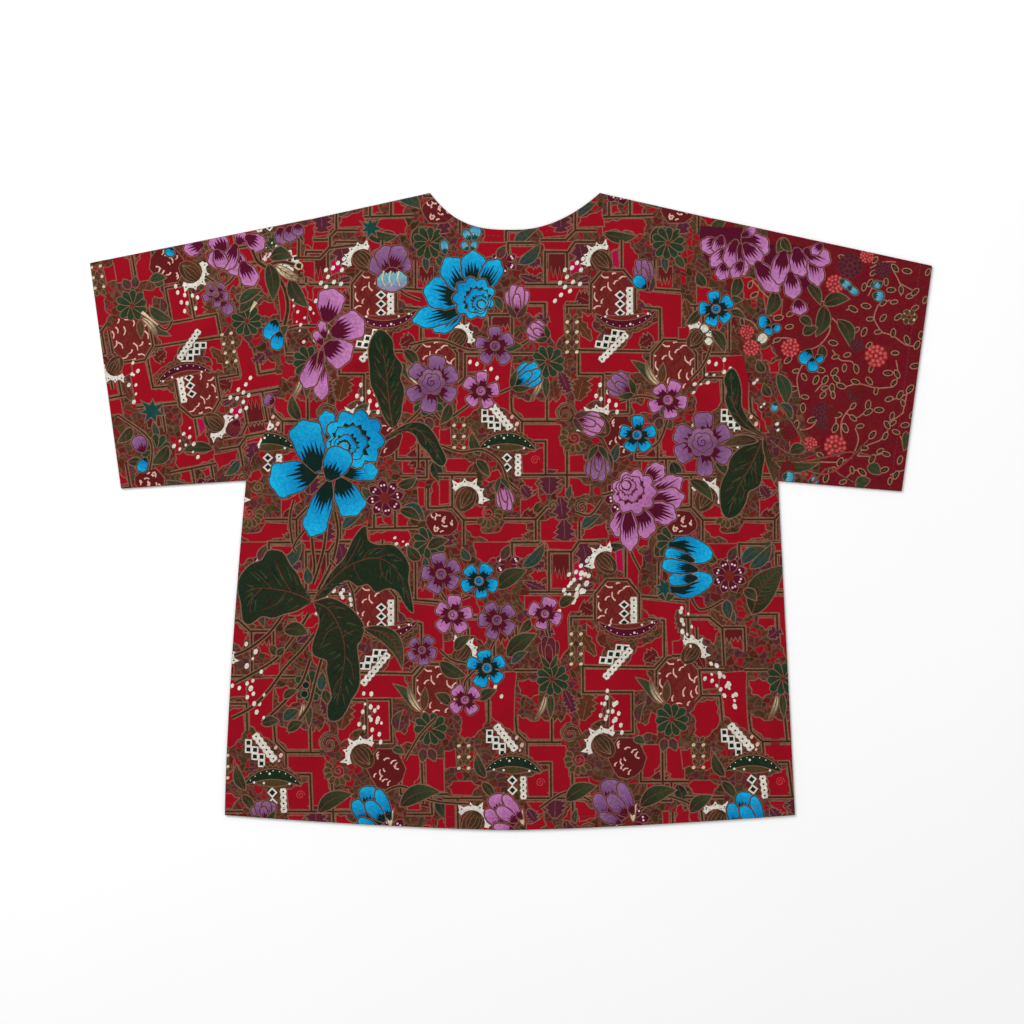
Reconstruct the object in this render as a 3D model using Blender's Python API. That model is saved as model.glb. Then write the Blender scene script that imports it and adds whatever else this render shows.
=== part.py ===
# Batik crop shirt laid flat on a surface with its back up.
# X runs across the shirt from sleeve to sleeve, Y from the hem to the neck and Z up.
# The origin is on the surface, at the middle of the shirt's outline. Lengths are in metres.

import math

import bmesh
import bpy
from mathutils import Vector

# Cloth wall, the seam gap between pieces, and the heights of the two layers
WALL = 0.0010
SEAM_GAP = 0.0003
UPPER_BOTTOM = WALL + SEAM_GAP
UPPER_TOP = UPPER_BOTTOM + WALL

# Overall sizes of the laid shirt
HALF_SPAN = 0.400
HALF_LENGTH = 0.3025
HEM_DROP = 0.0142
HEM_ROUND = 1.45

# Neckline: the back is shallow and the hidden front is a deeper U
NECK_LEFT_X = -0.0770
NECK_RIGHT_X = 0.0845
BACK_NECK_DEPTH = 0.0350
FRONT_NECK_DEPTH = 0.1550
FRONT_NECK_POWER = 2.6

# Corners of each side in plan, and how its edges curve
SIDES = {
    "left": {
        "neck": (NECK_LEFT_X, HALF_LENGTH),
        "shoulder": (-0.1900, 0.2776),
        "cuff_top": (-HALF_SPAN, 0.2358),
        "cuff_low": (-0.3705, 0.0223),
        "underarm": (-0.2515, 0.0300),
        "hem": (-0.2717, HEM_DROP - HALF_LENGTH),
        "armhole_bow": 0.0095,
        "seam_power": 1.45,
        "neck_power": 3.1,
    },
    "right": {
        "neck": (NECK_RIGHT_X, HALF_LENGTH),
        "shoulder": (0.1910, 0.2784),
        "cuff_top": (HALF_SPAN, 0.2332),
        "cuff_low": (0.3712, 0.0196),
        "underarm": (0.2535, 0.0295),
        "hem": (0.2697, HEM_DROP - HALF_LENGTH),
        "armhole_bow": -0.0040,
        "seam_power": 1.0,
        "neck_power": 2.05,
    },
}

# Sections in each loft. The corners of a panel fall on a section.
SHOULDER_COLUMNS = 10
NECK_COLUMNS = 14
SIDE_ROWS = 17
ARMHOLE_ROWS = 14
SLEEVE_SECTIONS = 14
SLEEVE_STEPS = 14
EDGE_STEPS = 4
FRONT_EDGE_STEPS = 24

# The cloth lies flat at its edges and lifts softly inside them
EDGE_FADE = 0.024
PUFF = 0.0009

# Largest folds: where each starts and ends, how wide and how high it is
FOLDS = (
    {"start": (-0.236, 0.052), "end": (-0.118, 0.168), "width": 0.017, "height": 0.0026},
    {"start": (-0.228, 0.022), "end": (-0.150, -0.055), "width": 0.015, "height": 0.0018},
    {"start": (0.236, 0.050), "end": (0.128, 0.176), "width": 0.018, "height": 0.0028},
    {"start": (0.226, 0.015), "end": (0.165, -0.090), "width": 0.014, "height": 0.0016},
    {"start": (0.262, -0.165), "end": (0.246, -0.255), "width": 0.012, "height": 0.0020},
    {"start": (-0.085, -0.150), "end": (-0.060, -0.285), "width": 0.020, "height": 0.0016},
    {"start": (0.095, -0.130), "end": (0.118, -0.280), "width": 0.022, "height": 0.0014},
    {"start": (-0.205, 0.240), "end": (-0.335, 0.140), "width": 0.018, "height": 0.0018},
    {"start": (0.205, 0.235), "end": (0.330, 0.120), "width": 0.018, "height": 0.0020},
    {"start": (-0.270, 0.060), "end": (-0.345, 0.085), "width": 0.013, "height": 0.0014},
    {"start": (0.275, 0.058), "end": (0.350, 0.070), "width": 0.013, "height": 0.0015},
    {"start": (-0.060, 0.235), "end": (0.070, 0.232), "width": 0.012, "height": 0.0010},
)

# Cloth of each piece: dyed red cotton, the right sleeve from a darker part of the cloth
RED = (0.36, 0.030, 0.040)
DARK_RED = (0.22, 0.022, 0.032)
COTTON_ROUGHNESS = 0.85


def clear_scene():
    for obj in list(bpy.data.objects):
        bpy.data.objects.remove(obj, do_unlink=True)


def mix(a, b, t):
    return a * (1.0 - t) + b * t


def smooth_step(t):
    t = min(1.0, max(0.0, t))
    return t * t * (3.0 - 2.0 * t)


# Edges of the pattern pieces, each as a point in plan at a share t of its way

def side_seam_point(side, t):
    underarm = Vector(side["underarm"])
    hem = Vector(side["hem"])
    share = 1.0 - (1.0 - t) ** side["seam_power"]
    return Vector((mix(underarm.x, hem.x, share), mix(underarm.y, hem.y, t)))


def armhole_point(side, t):
    shoulder = Vector(side["shoulder"])
    underarm = Vector(side["underarm"])
    bow = side["armhole_bow"] * math.sin(math.pi * t ** 1.6)
    return shoulder.lerp(underarm, t) + Vector((bow, 0.0))


def hem_point(t):
    left = SIDES["left"]["hem"]
    right = SIDES["right"]["hem"]
    x = mix(left[0], right[0], t)
    drop = HEM_DROP * (1.0 - abs(2.0 * t - 1.0) ** HEM_ROUND)
    return Vector((x, left[1] - drop))


def neck_point(t, depth, left_power, right_power):
    middle = 0.5 * (NECK_LEFT_X + NECK_RIGHT_X)
    half = 0.5 * (NECK_RIGHT_X - NECK_LEFT_X)
    across = -math.cos(math.pi * t)
    power = left_power if across < 0.0 else right_power
    y = HALF_LENGTH - depth * (1.0 - abs(across) ** power)
    return Vector((middle + half * across, y))


def back_neck_point(t):
    powers = (SIDES["left"]["neck_power"], SIDES["right"]["neck_power"])
    return neck_point(t, BACK_NECK_DEPTH, *powers)


def front_neck_point(t):
    return neck_point(t, FRONT_NECK_DEPTH, FRONT_NECK_POWER, FRONT_NECK_POWER)


def shoulder_point(side, t):
    return Vector(side["shoulder"]).lerp(Vector(side["neck"]), t)


# Height of the shown cloth over its flat place

def outline_corners():
    left = SIDES["left"]
    right = SIDES["right"]
    names = ("neck", "cuff_top", "cuff_low", "underarm", "hem")
    corners = [Vector(left[name]) for name in names]
    corners.append(hem_point(0.5))
    corners += [Vector(right[name]) for name in reversed(names)]
    corners.append(back_neck_point(0.5))
    return corners


def distance_to_segment(point, start, end):
    along = end - start
    share = (point - start).dot(along) / along.length_squared
    share = min(1.0, max(0.0, share))
    return (point - start - along * share).length


def distance_to_outline(point, corners):
    pairs = zip(corners, corners[1:] + corners[:1])
    return min(distance_to_segment(point, start, end) for start, end in pairs)


def fold_height(point, fold):
    start = Vector(fold["start"])
    along = Vector(fold["end"]) - start
    share = (point - start).dot(along) / along.length_squared
    nearest = start + along * min(1.0, max(0.0, share))
    away = (point - nearest).length / fold["width"]
    return fold["height"] * math.exp(-away * away)


def lift(point, corners):
    fade = smooth_step(distance_to_outline(point, corners) / EDGE_FADE)
    return fade * (PUFF + sum(fold_height(point, fold) for fold in FOLDS))


# Panels and sleeves as lofts between sections

def edge_share(index, first_steps, second_steps):
    # A share from 0 to 1 over the first stretch and from 1 to 2 over the second
    if index <= first_steps:
        return index / first_steps
    return 1.0 + (index - first_steps) / second_steps


def side_edge_point(side, row):
    share = edge_share(row, SIDE_ROWS, ARMHOLE_ROWS)
    if share <= 1.0:
        return side_seam_point(side, 1.0 - share)
    return armhole_point(side, 2.0 - share)


def top_edge_point(column):
    if column <= SHOULDER_COLUMNS:
        return shoulder_point(SIDES["left"], column / SHOULDER_COLUMNS)
    column -= SHOULDER_COLUMNS
    if column <= NECK_COLUMNS:
        return back_neck_point(column / NECK_COLUMNS)
    column -= NECK_COLUMNS
    return shoulder_point(SIDES["right"], 1.0 - column / SHOULDER_COLUMNS)


def back_panel_rows():
    # A patch stretched between the hem, the two sides, and the shoulders with the neckline
    columns = 2 * SHOULDER_COLUMNS + NECK_COLUMNS
    rows = SIDE_ROWS + ARMHOLE_ROWS
    bottom = [hem_point(column / columns) for column in range(columns + 1)]
    top = [top_edge_point(column) for column in range(columns + 1)]
    left = [side_edge_point(SIDES["left"], row) for row in range(rows + 1)]
    right = [side_edge_point(SIDES["right"], row) for row in range(rows + 1)]
    patch = []
    for row in range(rows + 1):
        v = row / rows
        line = []
        for column in range(columns + 1):
            u = column / columns
            across = left[row].lerp(right[row], u)
            upward = bottom[column].lerp(top[column], v)
            low = bottom[0].lerp(bottom[-1], u)
            high = top[0].lerp(top[-1], u)
            line.append(across + upward - low.lerp(high, v))
        patch.append(line)
    return patch


def sleeve_ring(side, share, corners):
    # One section of the flattened tube, from the fold at its top to the underarm seam and back
    radius = 0.5 * UPPER_TOP
    outward = Vector((math.copysign(SEAM_GAP + 0.0001, side["neck"][0]), 0.0))
    cuff_top = Vector(side["cuff_top"])
    cuff_low = Vector(side["cuff_low"])
    length = (Vector(side["underarm"]) - Vector(side["shoulder"])).length

    def place(across):
        armhole = armhole_point(side, across) + outward
        return armhole.lerp(cuff_top.lerp(cuff_low, across), share)

    inset = radius / length
    outer = []
    inner = []
    for step in range(SLEEVE_STEPS + 1):
        point = place(mix(inset, 1.0 - inset, step / SLEEVE_STEPS))
        height = lift(point, corners)
        outer.append((point.x, point.y, UPPER_TOP + height))
        inner.append((point.x, point.y, UPPER_BOTTOM + height))
    add_tube_edge(outer, inner, place, 1.0, inset, radius)
    for step in range(SLEEVE_STEPS, -1, -1):
        point = place(mix(inset, 1.0 - inset, step / SLEEVE_STEPS))
        outer.append((point.x, point.y, 0.0))
        inner.append((point.x, point.y, WALL))
    add_tube_edge(outer, inner, place, 0.0, inset, radius)
    return outer, inner


def add_tube_edge(outer, inner, place, edge, inset, radius):
    # The rounded edge of the flattened tube, between its upper and lower layers
    toward = 1.0 if edge > 0.5 else -1.0
    middle = edge - toward * inset
    for step in range(1, EDGE_STEPS):
        turn = math.pi * step / EDGE_STEPS
        rise = toward * math.cos(turn)
        for ring, size in ((outer, radius), (inner, radius - WALL)):
            point = place(middle + toward * inset * math.sin(turn) * size / radius)
            ring.append((point.x, point.y, radius + size * rise))


def loft_wall(name, outer, inner, closed, material, collection):
    # A closed wall: one skin through the outer rows, one through the inner rows, and rims between
    mesh = bpy.data.meshes.new(name)
    bm = bmesh.new()
    skins = [[[bm.verts.new(point) for point in row] for row in rows] for rows in (outer, inner)]
    row_count = len(outer)
    point_count = len(outer[0])
    steps = point_count if closed else point_count - 1
    for skin in skins:
        for row in range(row_count - 1):
            for step in range(steps):
                after = (step + 1) % point_count
                low, high = skin[row], skin[row + 1]
                bm.faces.new((low[step], low[after], high[after], high[step]))
    for row in (0, row_count - 1):
        for step in range(steps):
            after = (step + 1) % point_count
            near, far = skins[0][row], skins[1][row]
            bm.faces.new((near[step], near[after], far[after], far[step]))
    if not closed:
        for step in (0, point_count - 1):
            for row in range(row_count - 1):
                near, far = skins[0], skins[1]
                bm.faces.new((near[row][step], near[row + 1][step], far[row + 1][step], far[row][step]))
    bmesh.ops.recalc_face_normals(bm, faces=bm.faces)
    bm.to_mesh(mesh)
    bm.free()
    mesh.shade_smooth()
    mesh.set_sharp_from_angle(angle=math.radians(40.0))
    obj = bpy.data.objects.new(name, mesh)
    obj.data.materials.append(material)
    collection.objects.link(obj)
    return obj


def cloth_material(name, color):
    material = bpy.data.materials.new(name)
    material.use_nodes = True
    shader = material.node_tree.nodes["Principled BSDF"]
    shader.inputs["Base Color"].default_value = (*color, 1.0)
    shader.inputs["Roughness"].default_value = COTTON_ROUGHNESS
    shader.inputs["Metallic"].default_value = 0.0
    return material


def add_back_panel(collection, corners):
    rows = back_panel_rows()
    outer = []
    inner = []
    for line in rows:
        heights = [lift(point, corners) for point in line]
        outer.append([(p.x, p.y, UPPER_TOP + h) for p, h in zip(line, heights)])
        inner.append([(p.x, p.y, UPPER_BOTTOM + h) for p, h in zip(line, heights)])
    material = cloth_material("back_cloth", RED)
    return loft_wall("back_panel", outer, inner, False, material, collection)


def front_panel_outline():
    steps = FRONT_EDGE_STEPS
    left = SIDES["left"]
    right = SIDES["right"]
    points = [hem_point(step / steps) for step in range(steps)]
    points += [side_seam_point(right, 1.0 - step / steps) for step in range(steps)]
    points += [armhole_point(right, 1.0 - step / steps) for step in range(steps)]
    points.append(shoulder_point(right, 0.0))
    points += [front_neck_point(1.0 - step / steps) for step in range(steps)]
    points.append(front_neck_point(0.0))
    points += [armhole_point(left, step / steps) for step in range(steps)]
    points += [side_seam_point(left, step / steps) for step in range(steps)]
    return points


def add_front_panel(collection):
    # The hidden layer lies flat on the surface, so it is its flat outline with the wall's thickness
    points = front_panel_outline()
    curve = bpy.data.curves.new("front_panel", "CURVE")
    curve.dimensions = "2D"
    curve.fill_mode = "BOTH"
    curve.extrude = 0.5 * WALL
    spline = curve.splines.new("POLY")
    spline.points.add(len(points) - 1)
    for target, point in zip(spline.points, points):
        target.co = (point.x, point.y, 0.0, 1.0)
    spline.use_cyclic_u = True
    curve.materials.append(cloth_material("front_cloth", RED))
    obj = bpy.data.objects.new("front_panel", curve)
    obj.location.z = 0.5 * WALL
    collection.objects.link(obj)
    return obj


def add_sleeve(name, side, color, collection, corners):
    outer = []
    inner = []
    for section in range(SLEEVE_SECTIONS + 1):
        outer_ring, inner_ring = sleeve_ring(side, section / SLEEVE_SECTIONS, corners)
        outer.append(outer_ring)
        inner.append(inner_ring)
    material = cloth_material(name + "_cloth", color)
    return loft_wall(name, outer, inner, True, material, collection)


def build_shirt():
    clear_scene()
    collection = bpy.data.collections.new("batik_crop_shirt")
    bpy.context.scene.collection.children.link(collection)
    corners = outline_corners()
    pieces = [
        add_back_panel(collection, corners),
        add_front_panel(collection),
        add_sleeve("sleeve_left", SIDES["left"], RED, collection, corners),
        add_sleeve("sleeve_right", SIDES["right"], DARK_RED, collection, corners),
    ]
    return pieces


build_shirt()
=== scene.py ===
import math
import random

import bpy
import numpy as np
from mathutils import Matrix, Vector
from mathutils.geometry import delaunay_2d_cdt
from mathutils.kdtree import KDTree


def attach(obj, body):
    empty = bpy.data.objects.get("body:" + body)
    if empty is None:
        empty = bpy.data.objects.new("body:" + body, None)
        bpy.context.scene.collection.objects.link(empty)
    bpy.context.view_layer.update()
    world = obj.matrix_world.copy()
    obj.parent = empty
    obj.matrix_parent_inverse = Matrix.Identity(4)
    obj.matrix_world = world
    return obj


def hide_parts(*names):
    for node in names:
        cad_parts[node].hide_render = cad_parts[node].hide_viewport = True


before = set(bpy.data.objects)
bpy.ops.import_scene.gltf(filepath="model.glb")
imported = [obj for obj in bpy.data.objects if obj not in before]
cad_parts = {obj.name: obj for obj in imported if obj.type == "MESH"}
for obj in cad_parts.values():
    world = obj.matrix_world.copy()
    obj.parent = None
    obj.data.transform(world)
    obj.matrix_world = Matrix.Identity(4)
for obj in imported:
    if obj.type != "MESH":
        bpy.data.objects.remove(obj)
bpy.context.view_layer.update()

print("frame loaded:", ", ".join(sorted(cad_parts)))

photoMm = 0.95  # one photo pixel on the laid cloth
photoMiddle = (511.0, 511.5)

dyes = {
    "crimson": (148, 7, 27), "magenta": (165, 4, 62), "tan": (124, 88, 70), "line": (56, 36, 14), "olive": (74, 58, 32),
    "maroon": (92, 22, 24), "brown": (88, 46, 28), "wine": (82, 30, 46), "russet": (108, 34, 30), "seed": (52, 28, 20),
    "leaf": (39, 43, 25), "leafLight": (54, 64, 38), "leafDeep": (24, 42, 26), "green": (34, 60, 38),
    "vein": (98, 52, 40), "teal": (18, 64, 62), "turquoise": (6, 124, 182), "turquoiseLight": (22, 168, 216),
    "ink": (10, 34, 30),
    "mauve": (166, 98, 152), "mauveLight": (184, 120, 172), "plum": (80, 10, 36), "violet": (112, 70, 112),
    "violetLight": (140, 98, 140), "paleBlue": (104, 168, 178), "thicket": (84, 46, 32), "vine": (106, 9, 24),
    "white": (214, 208, 196), "cream": (206, 184, 150), "blush": (214, 172, 156), "straw": (152, 106, 86),
    "pink": (226, 190, 196), "pinkDeep": (196, 100, 104), "coral": (180, 58, 60), "wrongSide": (132, 30, 40),
    "scrollLine": (100, 68, 52),
}
scrolls = {"thicket": 1.0, "vine": 0.10}  # dyes that carry the small scrolls of the thickets

# Body, light and dark dye of a flower's petals
turquoiseLook = ("turquoise", "turquoiseLight", "ink")
mauveLook = ("mauve", "mauveLight", "plum")
violetLook = ("violet", "violetLight", "plum")
wineLook = ("russet", "wine", "plum")
paleBlueLook = ("paleBlue", "turquoise", "teal")


class PrintedCloth:
    def __init__(self):
        self.shapes = []

    def paint(self, outline, dye, fade=None):
        if len(outline) > 2:
            self.shapes.append((outline, dye, fade))


def at(px, py):
    return ((px - photoMiddle[0]) * photoMm, (photoMiddle[1] - py) * photoMm)


def mixed(a, b, t):
    return (a[0] + (b[0] - a[0]) * t, a[1] + (b[1] - a[1]) * t)


def polar(centre, radius, degrees):
    angle = math.radians(degrees)
    return (centre[0] + radius * math.cos(angle), centre[1] + radius * math.sin(angle))


def wayOf(a, b):
    # Step from one point to the next, and its length
    dx, dy = b[0] - a[0], b[1] - a[1]
    return dx, dy, math.hypot(dx, dy) or 1.0


def spanOf(base, tip):
    # Gives places beside the way from base to tip: share of its length, and distance to the left
    dx, dy, length = wayOf(base, tip)
    ux, uy = dx / length, dy / length

    def spot(share, side=0.0):
        return (base[0] + ux * length * share - uy * side, base[1] + uy * length * share + ux * side)
    return spot


def mitre(one, two):
    # Sum of the left-hand unit normals of two steps
    return -one[1] / one[2] - two[1] / two[2], one[0] / one[2] + two[0] / two[2]


def grown(outline, by):
    # The outline moved outwards by a little, along the normals at its points
    ring = outline[1:] + outline[:1]
    side = -by if sum(a[0] * b[1] - b[0] * a[1] for a, b in zip(outline, ring)) > 0 else by
    moved = []
    for before, here, after in zip(outline[-1:] + outline[:-1], outline, ring):
        nx, ny = mitre(wayOf(before, here), wayOf(here, after))
        reach = 2.0 * side / max(nx * nx + ny * ny, 0.35)
        moved.append((here[0] + nx * reach, here[1] + ny * reach))
    return moved


def ribbon(points, width, endWidth=None):
    # A stroke of even or tapering width along a run of points, mitred at its corners
    endWidth = width if endWidth is None else endWidth
    ways = [wayOf(a, b) for a, b in zip(points, points[1:])]
    left, right = [], []
    for k, here in enumerate(points):
        nx, ny = mitre(ways[max(k - 1, 0)], ways[min(k, len(ways) - 1)])
        reach = (width + (endWidth - width) * k / len(ways)) / max(nx * nx + ny * ny, 0.6)
        left.append((here[0] + nx * reach, here[1] + ny * reach))
        right.append((here[0] - nx * reach, here[1] - ny * reach))
    return left + right[::-1]


def curve(points, steps=6):
    # A smooth run through a few points
    if len(points) < 3:
        return list(points)
    run = []
    spread = [points[0]] + list(points) + [points[-1]]
    for k in range(1, len(spread) - 2):
        p0, p1, p2, p3 = spread[k - 1:k + 3]
        for step in range(steps):
            t = step / steps
            run.append(tuple(p1[i] + 0.5 * t * (p2[i] - p0[i] + t * (2 * p0[i] - 5 * p1[i] + 4 * p2[i] - p3[i]
                                                + t * (3 * (p1[i] - p2[i]) + p3[i] - p0[i]))) for i in (0, 1)))
    return run + [tuple(points[-1])]


def disc(centre, radius, sides=8, squash=1.0, lean=0.0):
    flat = spanOf(centre, polar(centre, 1.0, lean))
    corners = [2 * math.pi * k / sides for k in range(sides)]
    return [flat(radius * math.cos(a), radius * squash * math.sin(a)) for a in corners]


def spiralRun(centre, radius, turns, start=0.0):
    count = max(4, int(turns * 9))
    shares = [k / count for k in range(count + 1)]
    return [polar(centre, radius * (1.0 - 0.88 * share), start + 360.0 * turns * share) for share in shares]


def edged(cloth, outline, dye, rim=1.1, fade=None, edge="tan"):
    # A field inside its pale wax edge
    cloth.paint(grown(outline, rim), edge)
    cloth.paint(outline, dye, fade)


def linesOf(cloth, runs):
    # Dyed lines with pale wax edges: all the edges first, so that crossings stay open
    for width, dye in ((4.2, "tan"), (1.7, "line")):
        for run in runs:
            cloth.paint(ribbon(run, width), dye)


def thinLine(cloth, points, width=0.9, dye="tan", endWidth=None):
    cloth.paint(ribbon(points, width, endWidth), dye)


def petalOutline(base, tip, width, scallops=2, ruffle=0.12, narrow=0.14, shoulder=0.55):
    # A petal that opens from a narrow base to a round, scalloped end
    span = spanOf(base, tip)
    left, right, end = [], [], []
    for t in (0.0, 0.2, 0.42):
        half = 0.5 * width * (narrow + (0.98 - narrow) * math.sin(0.5 * math.pi * min(1.0, t / shoulder)) ** 0.9)
        left.append(span(t, half))
        right.append(span(t, -half))
    steps = 4 * scallops + 2 if scallops > 1 else 7
    for k in range(steps + 1):
        turn = math.pi * k / steps
        reach = 1.0 + ruffle * (abs(math.sin(scallops * turn)) - 0.75) if scallops > 1 else 1.0
        end.append(span(shoulder + (1.0 - shoulder) * reach * math.sin(turn), 0.5 * width * reach * math.cos(turn)))
    return left + end + right[::-1]


def flameOutline(base, tip, width, reach, teeth, seed):
    # Brushed streaks that run from the petal's base towards its tip
    rng = random.Random(seed)
    span = spanOf(base, tip)
    points = [span(0.02, 0.10 * width), span(0.02, -0.10 * width)]
    for k in range(teeth):
        v, middle = -0.5 + k / teeth, -0.5 + (k + 0.5) / teeth
        low = reach * (0.50 + 0.16 * rng.random()) * (1.0 - 1.1 * v ** 2)
        high = reach * (0.82 + 0.36 * rng.random()) * (1.0 - 0.9 * abs(middle) ** 1.6)
        points += [span(low, v * width * (0.44 + 0.62 * low)), span(high, middle * width * (0.46 + 0.50 * high))]
    return points + [span(reach * 0.45, 0.5 * width * (0.44 + 0.62 * reach * 0.45))]


def petal(cloth, base, tip, width, look, reach=0.55, teeth=5, scallops=2, seed=1, ruffle=0.12, shoulder=0.55):
    # A petal inside a thin dark rim and a pale wax edge, streaked dark from its base
    body, light, flame = look
    outline = petalOutline(base, tip, width, scallops, ruffle, 0.14, shoulder)
    cloth.paint(grown(outline, 1.0), "tan")
    cloth.paint(grown(outline, 0.25), flame)
    cloth.paint(grown(outline, -0.45), body, (light, mixed(base, tip, 0.35), tip))
    if reach > 0:
        cloth.paint(flameOutline(base, tip, width, reach, teeth, seed), flame)


def blossom(cloth, centre, radius, look, petals=5, turn=90.0, seed=3):
    # A small blossom: separate square-ended petals, dark towards a raised middle with a coil in it
    rng = random.Random(seed)
    width = 1.28 * radius * math.sin(math.pi / petals)
    cloth.paint(disc(centre, radius * 0.50, 10), look[2])
    for k in range(petals):
        angle = turn + k * 360.0 / petals + rng.uniform(-7, 7)
        reach, wide = radius * rng.uniform(0.92, 1.06), width * rng.uniform(0.88, 1.08)
        foot, tip = polar(centre, radius * 0.24, angle), polar(centre, reach, angle)
        petal(cloth, foot, tip, wide, look, 0.0, 3, 2, 1, 0.16, 0.66)
        # the shaded side of the petal, brushed out to its base
        side = 0.16 if k % 2 else -0.16
        span = spanOf(polar(centre, radius * 0.22, angle), polar(centre, radius * 0.80, angle))
        cloth.paint([span(share, over * wide) for share, over in (
            (0, 0.24), (0.62, side + 0.26), (0.50, side), (0.88, side), (0.50, side - 0.12), (0.70, side - 0.30),
            (0, -0.24))], look[2])
    cloth.paint(disc(centre, radius * 0.27, 9), "tan")
    cloth.paint(disc(centre, radius * 0.21, 8), look[0])
    thinLine(cloth, spiralRun(centre, radius * 0.16, 1.1, turn), 0.8, look[2])


def doubleBlossom(cloth, centre, radius, look, petals, turn, seed):
    # A larger blossom with a second, ruffled cup over its middle
    blossom(cloth, centre, radius, look, petals, turn, seed)
    middle = polar(centre, radius * 0.08, turn + 40)
    for size, waves in ((0.42, 6), (0.27, 5)):
        outline = [polar(middle, radius * size * (0.90 + 0.20 * abs(math.sin(math.pi * k / 4))),
                         turn + 90.0 * k / waves) for k in range(4 * waves)]
        cloth.paint(grown(outline, 1.2), look[2])
        edged(cloth, outline, look[0], 0.7, (look[1], centre, outline[0]))
    thinLine(cloth, spiralRun(middle, radius * 0.19, 1.3, turn), 0.9, look[2])


def daisy(cloth, centre, radius, turn):
    # A flat green rosette of ten round-ended petals
    cloth.paint(disc(centre, radius * 0.5, 10), "seed")
    for k in range(10):
        angle = turn + k * 36.0
        foot, tip = polar(centre, radius * 0.14, angle), polar(centre, radius * (1.0 + 0.05 * math.sin(k * 2.3)), angle)
        outline = petalOutline(foot, tip, 1.36 * radius * math.sin(math.pi / 10), 1, 0.0, 0.3, 0.72)
        edged(cloth, outline, "green", 0.8, ("leaf", polar(centre, radius, angle), centre))
    cloth.paint(disc(centre, radius * 0.15, 7), "russet")


def leaf(cloth, base, tip, width, bend=0.0, dye="leaf", light="leafLight", veins=0, vein="vein", rim=1.0):
    # A pointed leaf bent to one side; veins counts the side veins, and is -1 for a leaf without a rib
    span, (_, _, length) = spanOf(base, tip), wayOf(base, tip)

    def bow(t):
        return bend * length * 4.0 * t * (1.0 - t)

    def half(t):
        return 0.5 * width * math.sin(math.pi * t ** 0.82) ** 0.85 if 0 < t < 1 else 0.0
    shares = [k / 12 for k in range(13)]
    outline = [span(t, bow(t) + half(t)) for t in shares] + [span(t, bow(t) - half(t)) for t in shares[-2:0:-1]]
    edged(cloth, outline, dye, rim, (light, mixed(base, tip, 0.1), tip))
    if veins >= 0:
        thinLine(cloth, [span(t, bow(t)) for t in (0.0, 0.25, 0.5, 0.75, 0.96)], 1.0, vein, 0.4)
    for k in range(veins):
        t = 0.16 + 0.66 * k / (veins - 1)
        for side in (half(t), -half(t)):
            run = [span(t + on, bow(t) + side * out) for on, out in ((0.0, 0.0), (0.06, 0.45), (0.17, 0.80))]
            thinLine(cloth, run, 0.7, vein, 0.3)


def stem(cloth, points, width):
    thinLine(cloth, curve(points, 5), width + 2.0)
    thinLine(cloth, curve(points, 5), width, "line")


def dots(cloth, spots, size=2.0, lean=60.0, dye="white", halo=None):
    for k, spot in enumerate(spots):
        grow = 1.0 + 0.28 * math.sin(k * 2.4)
        if halo:
            cloth.paint(disc(spot, size * grow + 0.5, 6, 0.8, lean), halo)
        cloth.paint(disc(spot, size * grow, 6, 0.72, lean), dye)


def spray(cloth, start, end, count, spread, size, lean, seed):
    # Dots strewn along a line
    rng = random.Random(seed)
    span, (_, _, length) = spanOf(start, end), wayOf(start, end)
    spots = []
    for k in range(count):
        t = (k + 0.5) / count
        side = spread * math.sin(k * 2.2 + seed) * (0.5 + 0.6 * math.sin(math.pi * t))
        spots.append(span(t + rng.uniform(-1, 1) / length, side))
    dots(cloth, spots, size, lean)


def coil(cloth, centre, radius, turns, start, width=1.6, dye="olive", edge="tan"):
    run = spiralRun(centre, radius, turns, start)
    if edge:
        thinLine(cloth, run, width + 1.6, edge)
    thinLine(cloth, run, width, dye)


def fiddlehead(cloth, centre, radius, start, sweep):
    # A row of seven beads curled round a small red coil
    for k in range(7):
        angle = start + sweep * k / 6
        edged(cloth, disc(polar(centre, radius * 0.80, angle), radius * 0.30, 7, 0.62, angle), "olive", 0.8)
    thinLine(cloth, spiralRun(centre, radius * 0.5, 1.7, start + 90.0), 1.0, "coral")


def ragged(cloth, base, tip, width, dye, seed, teeth=0):
    # A ragged leaf-like filler with pointed lobes
    rng, teeth = random.Random(seed), teeth or 3 + seed % 3
    span = spanOf(base, tip)
    left, right = [span(0.0, 0.10 * width)], [span(0.0, -0.10 * width)]
    for k in range(teeth):
        t = (k + 0.5) / (teeth + 0.4)
        half = 0.5 * width * math.sin(math.pi * (0.18 + 0.75 * t))
        for run, side in ((left, half), (right, -half)):
            run += [span(t + 0.02, side * 0.55), span(t + 0.16, side * (0.92 + 0.16 * rng.random()))]
    edged(cloth, left + [span(1.0)] + right[::-1], dye, 0.9)
    thinLine(cloth, [base, span(0.8)], 0.6, "tan", 0.3)


def flameBox(cloth, corner, width, height, seed):
    # A box under a lattice line, filled down to a row of flame points
    rng = random.Random(seed)
    x, y = corner
    points = [corner]
    for k in range(4):
        points.append((x + width * k / 4, y - height * rng.uniform(0.78, 1.0)))
        points.append((x + width * (k + 0.5) / 4, y - height * rng.uniform(0.38, 0.55)))
    edged(cloth, points + [(x + width, y - height * 0.95), (x + width, y)], "maroon", 0.9)


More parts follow.
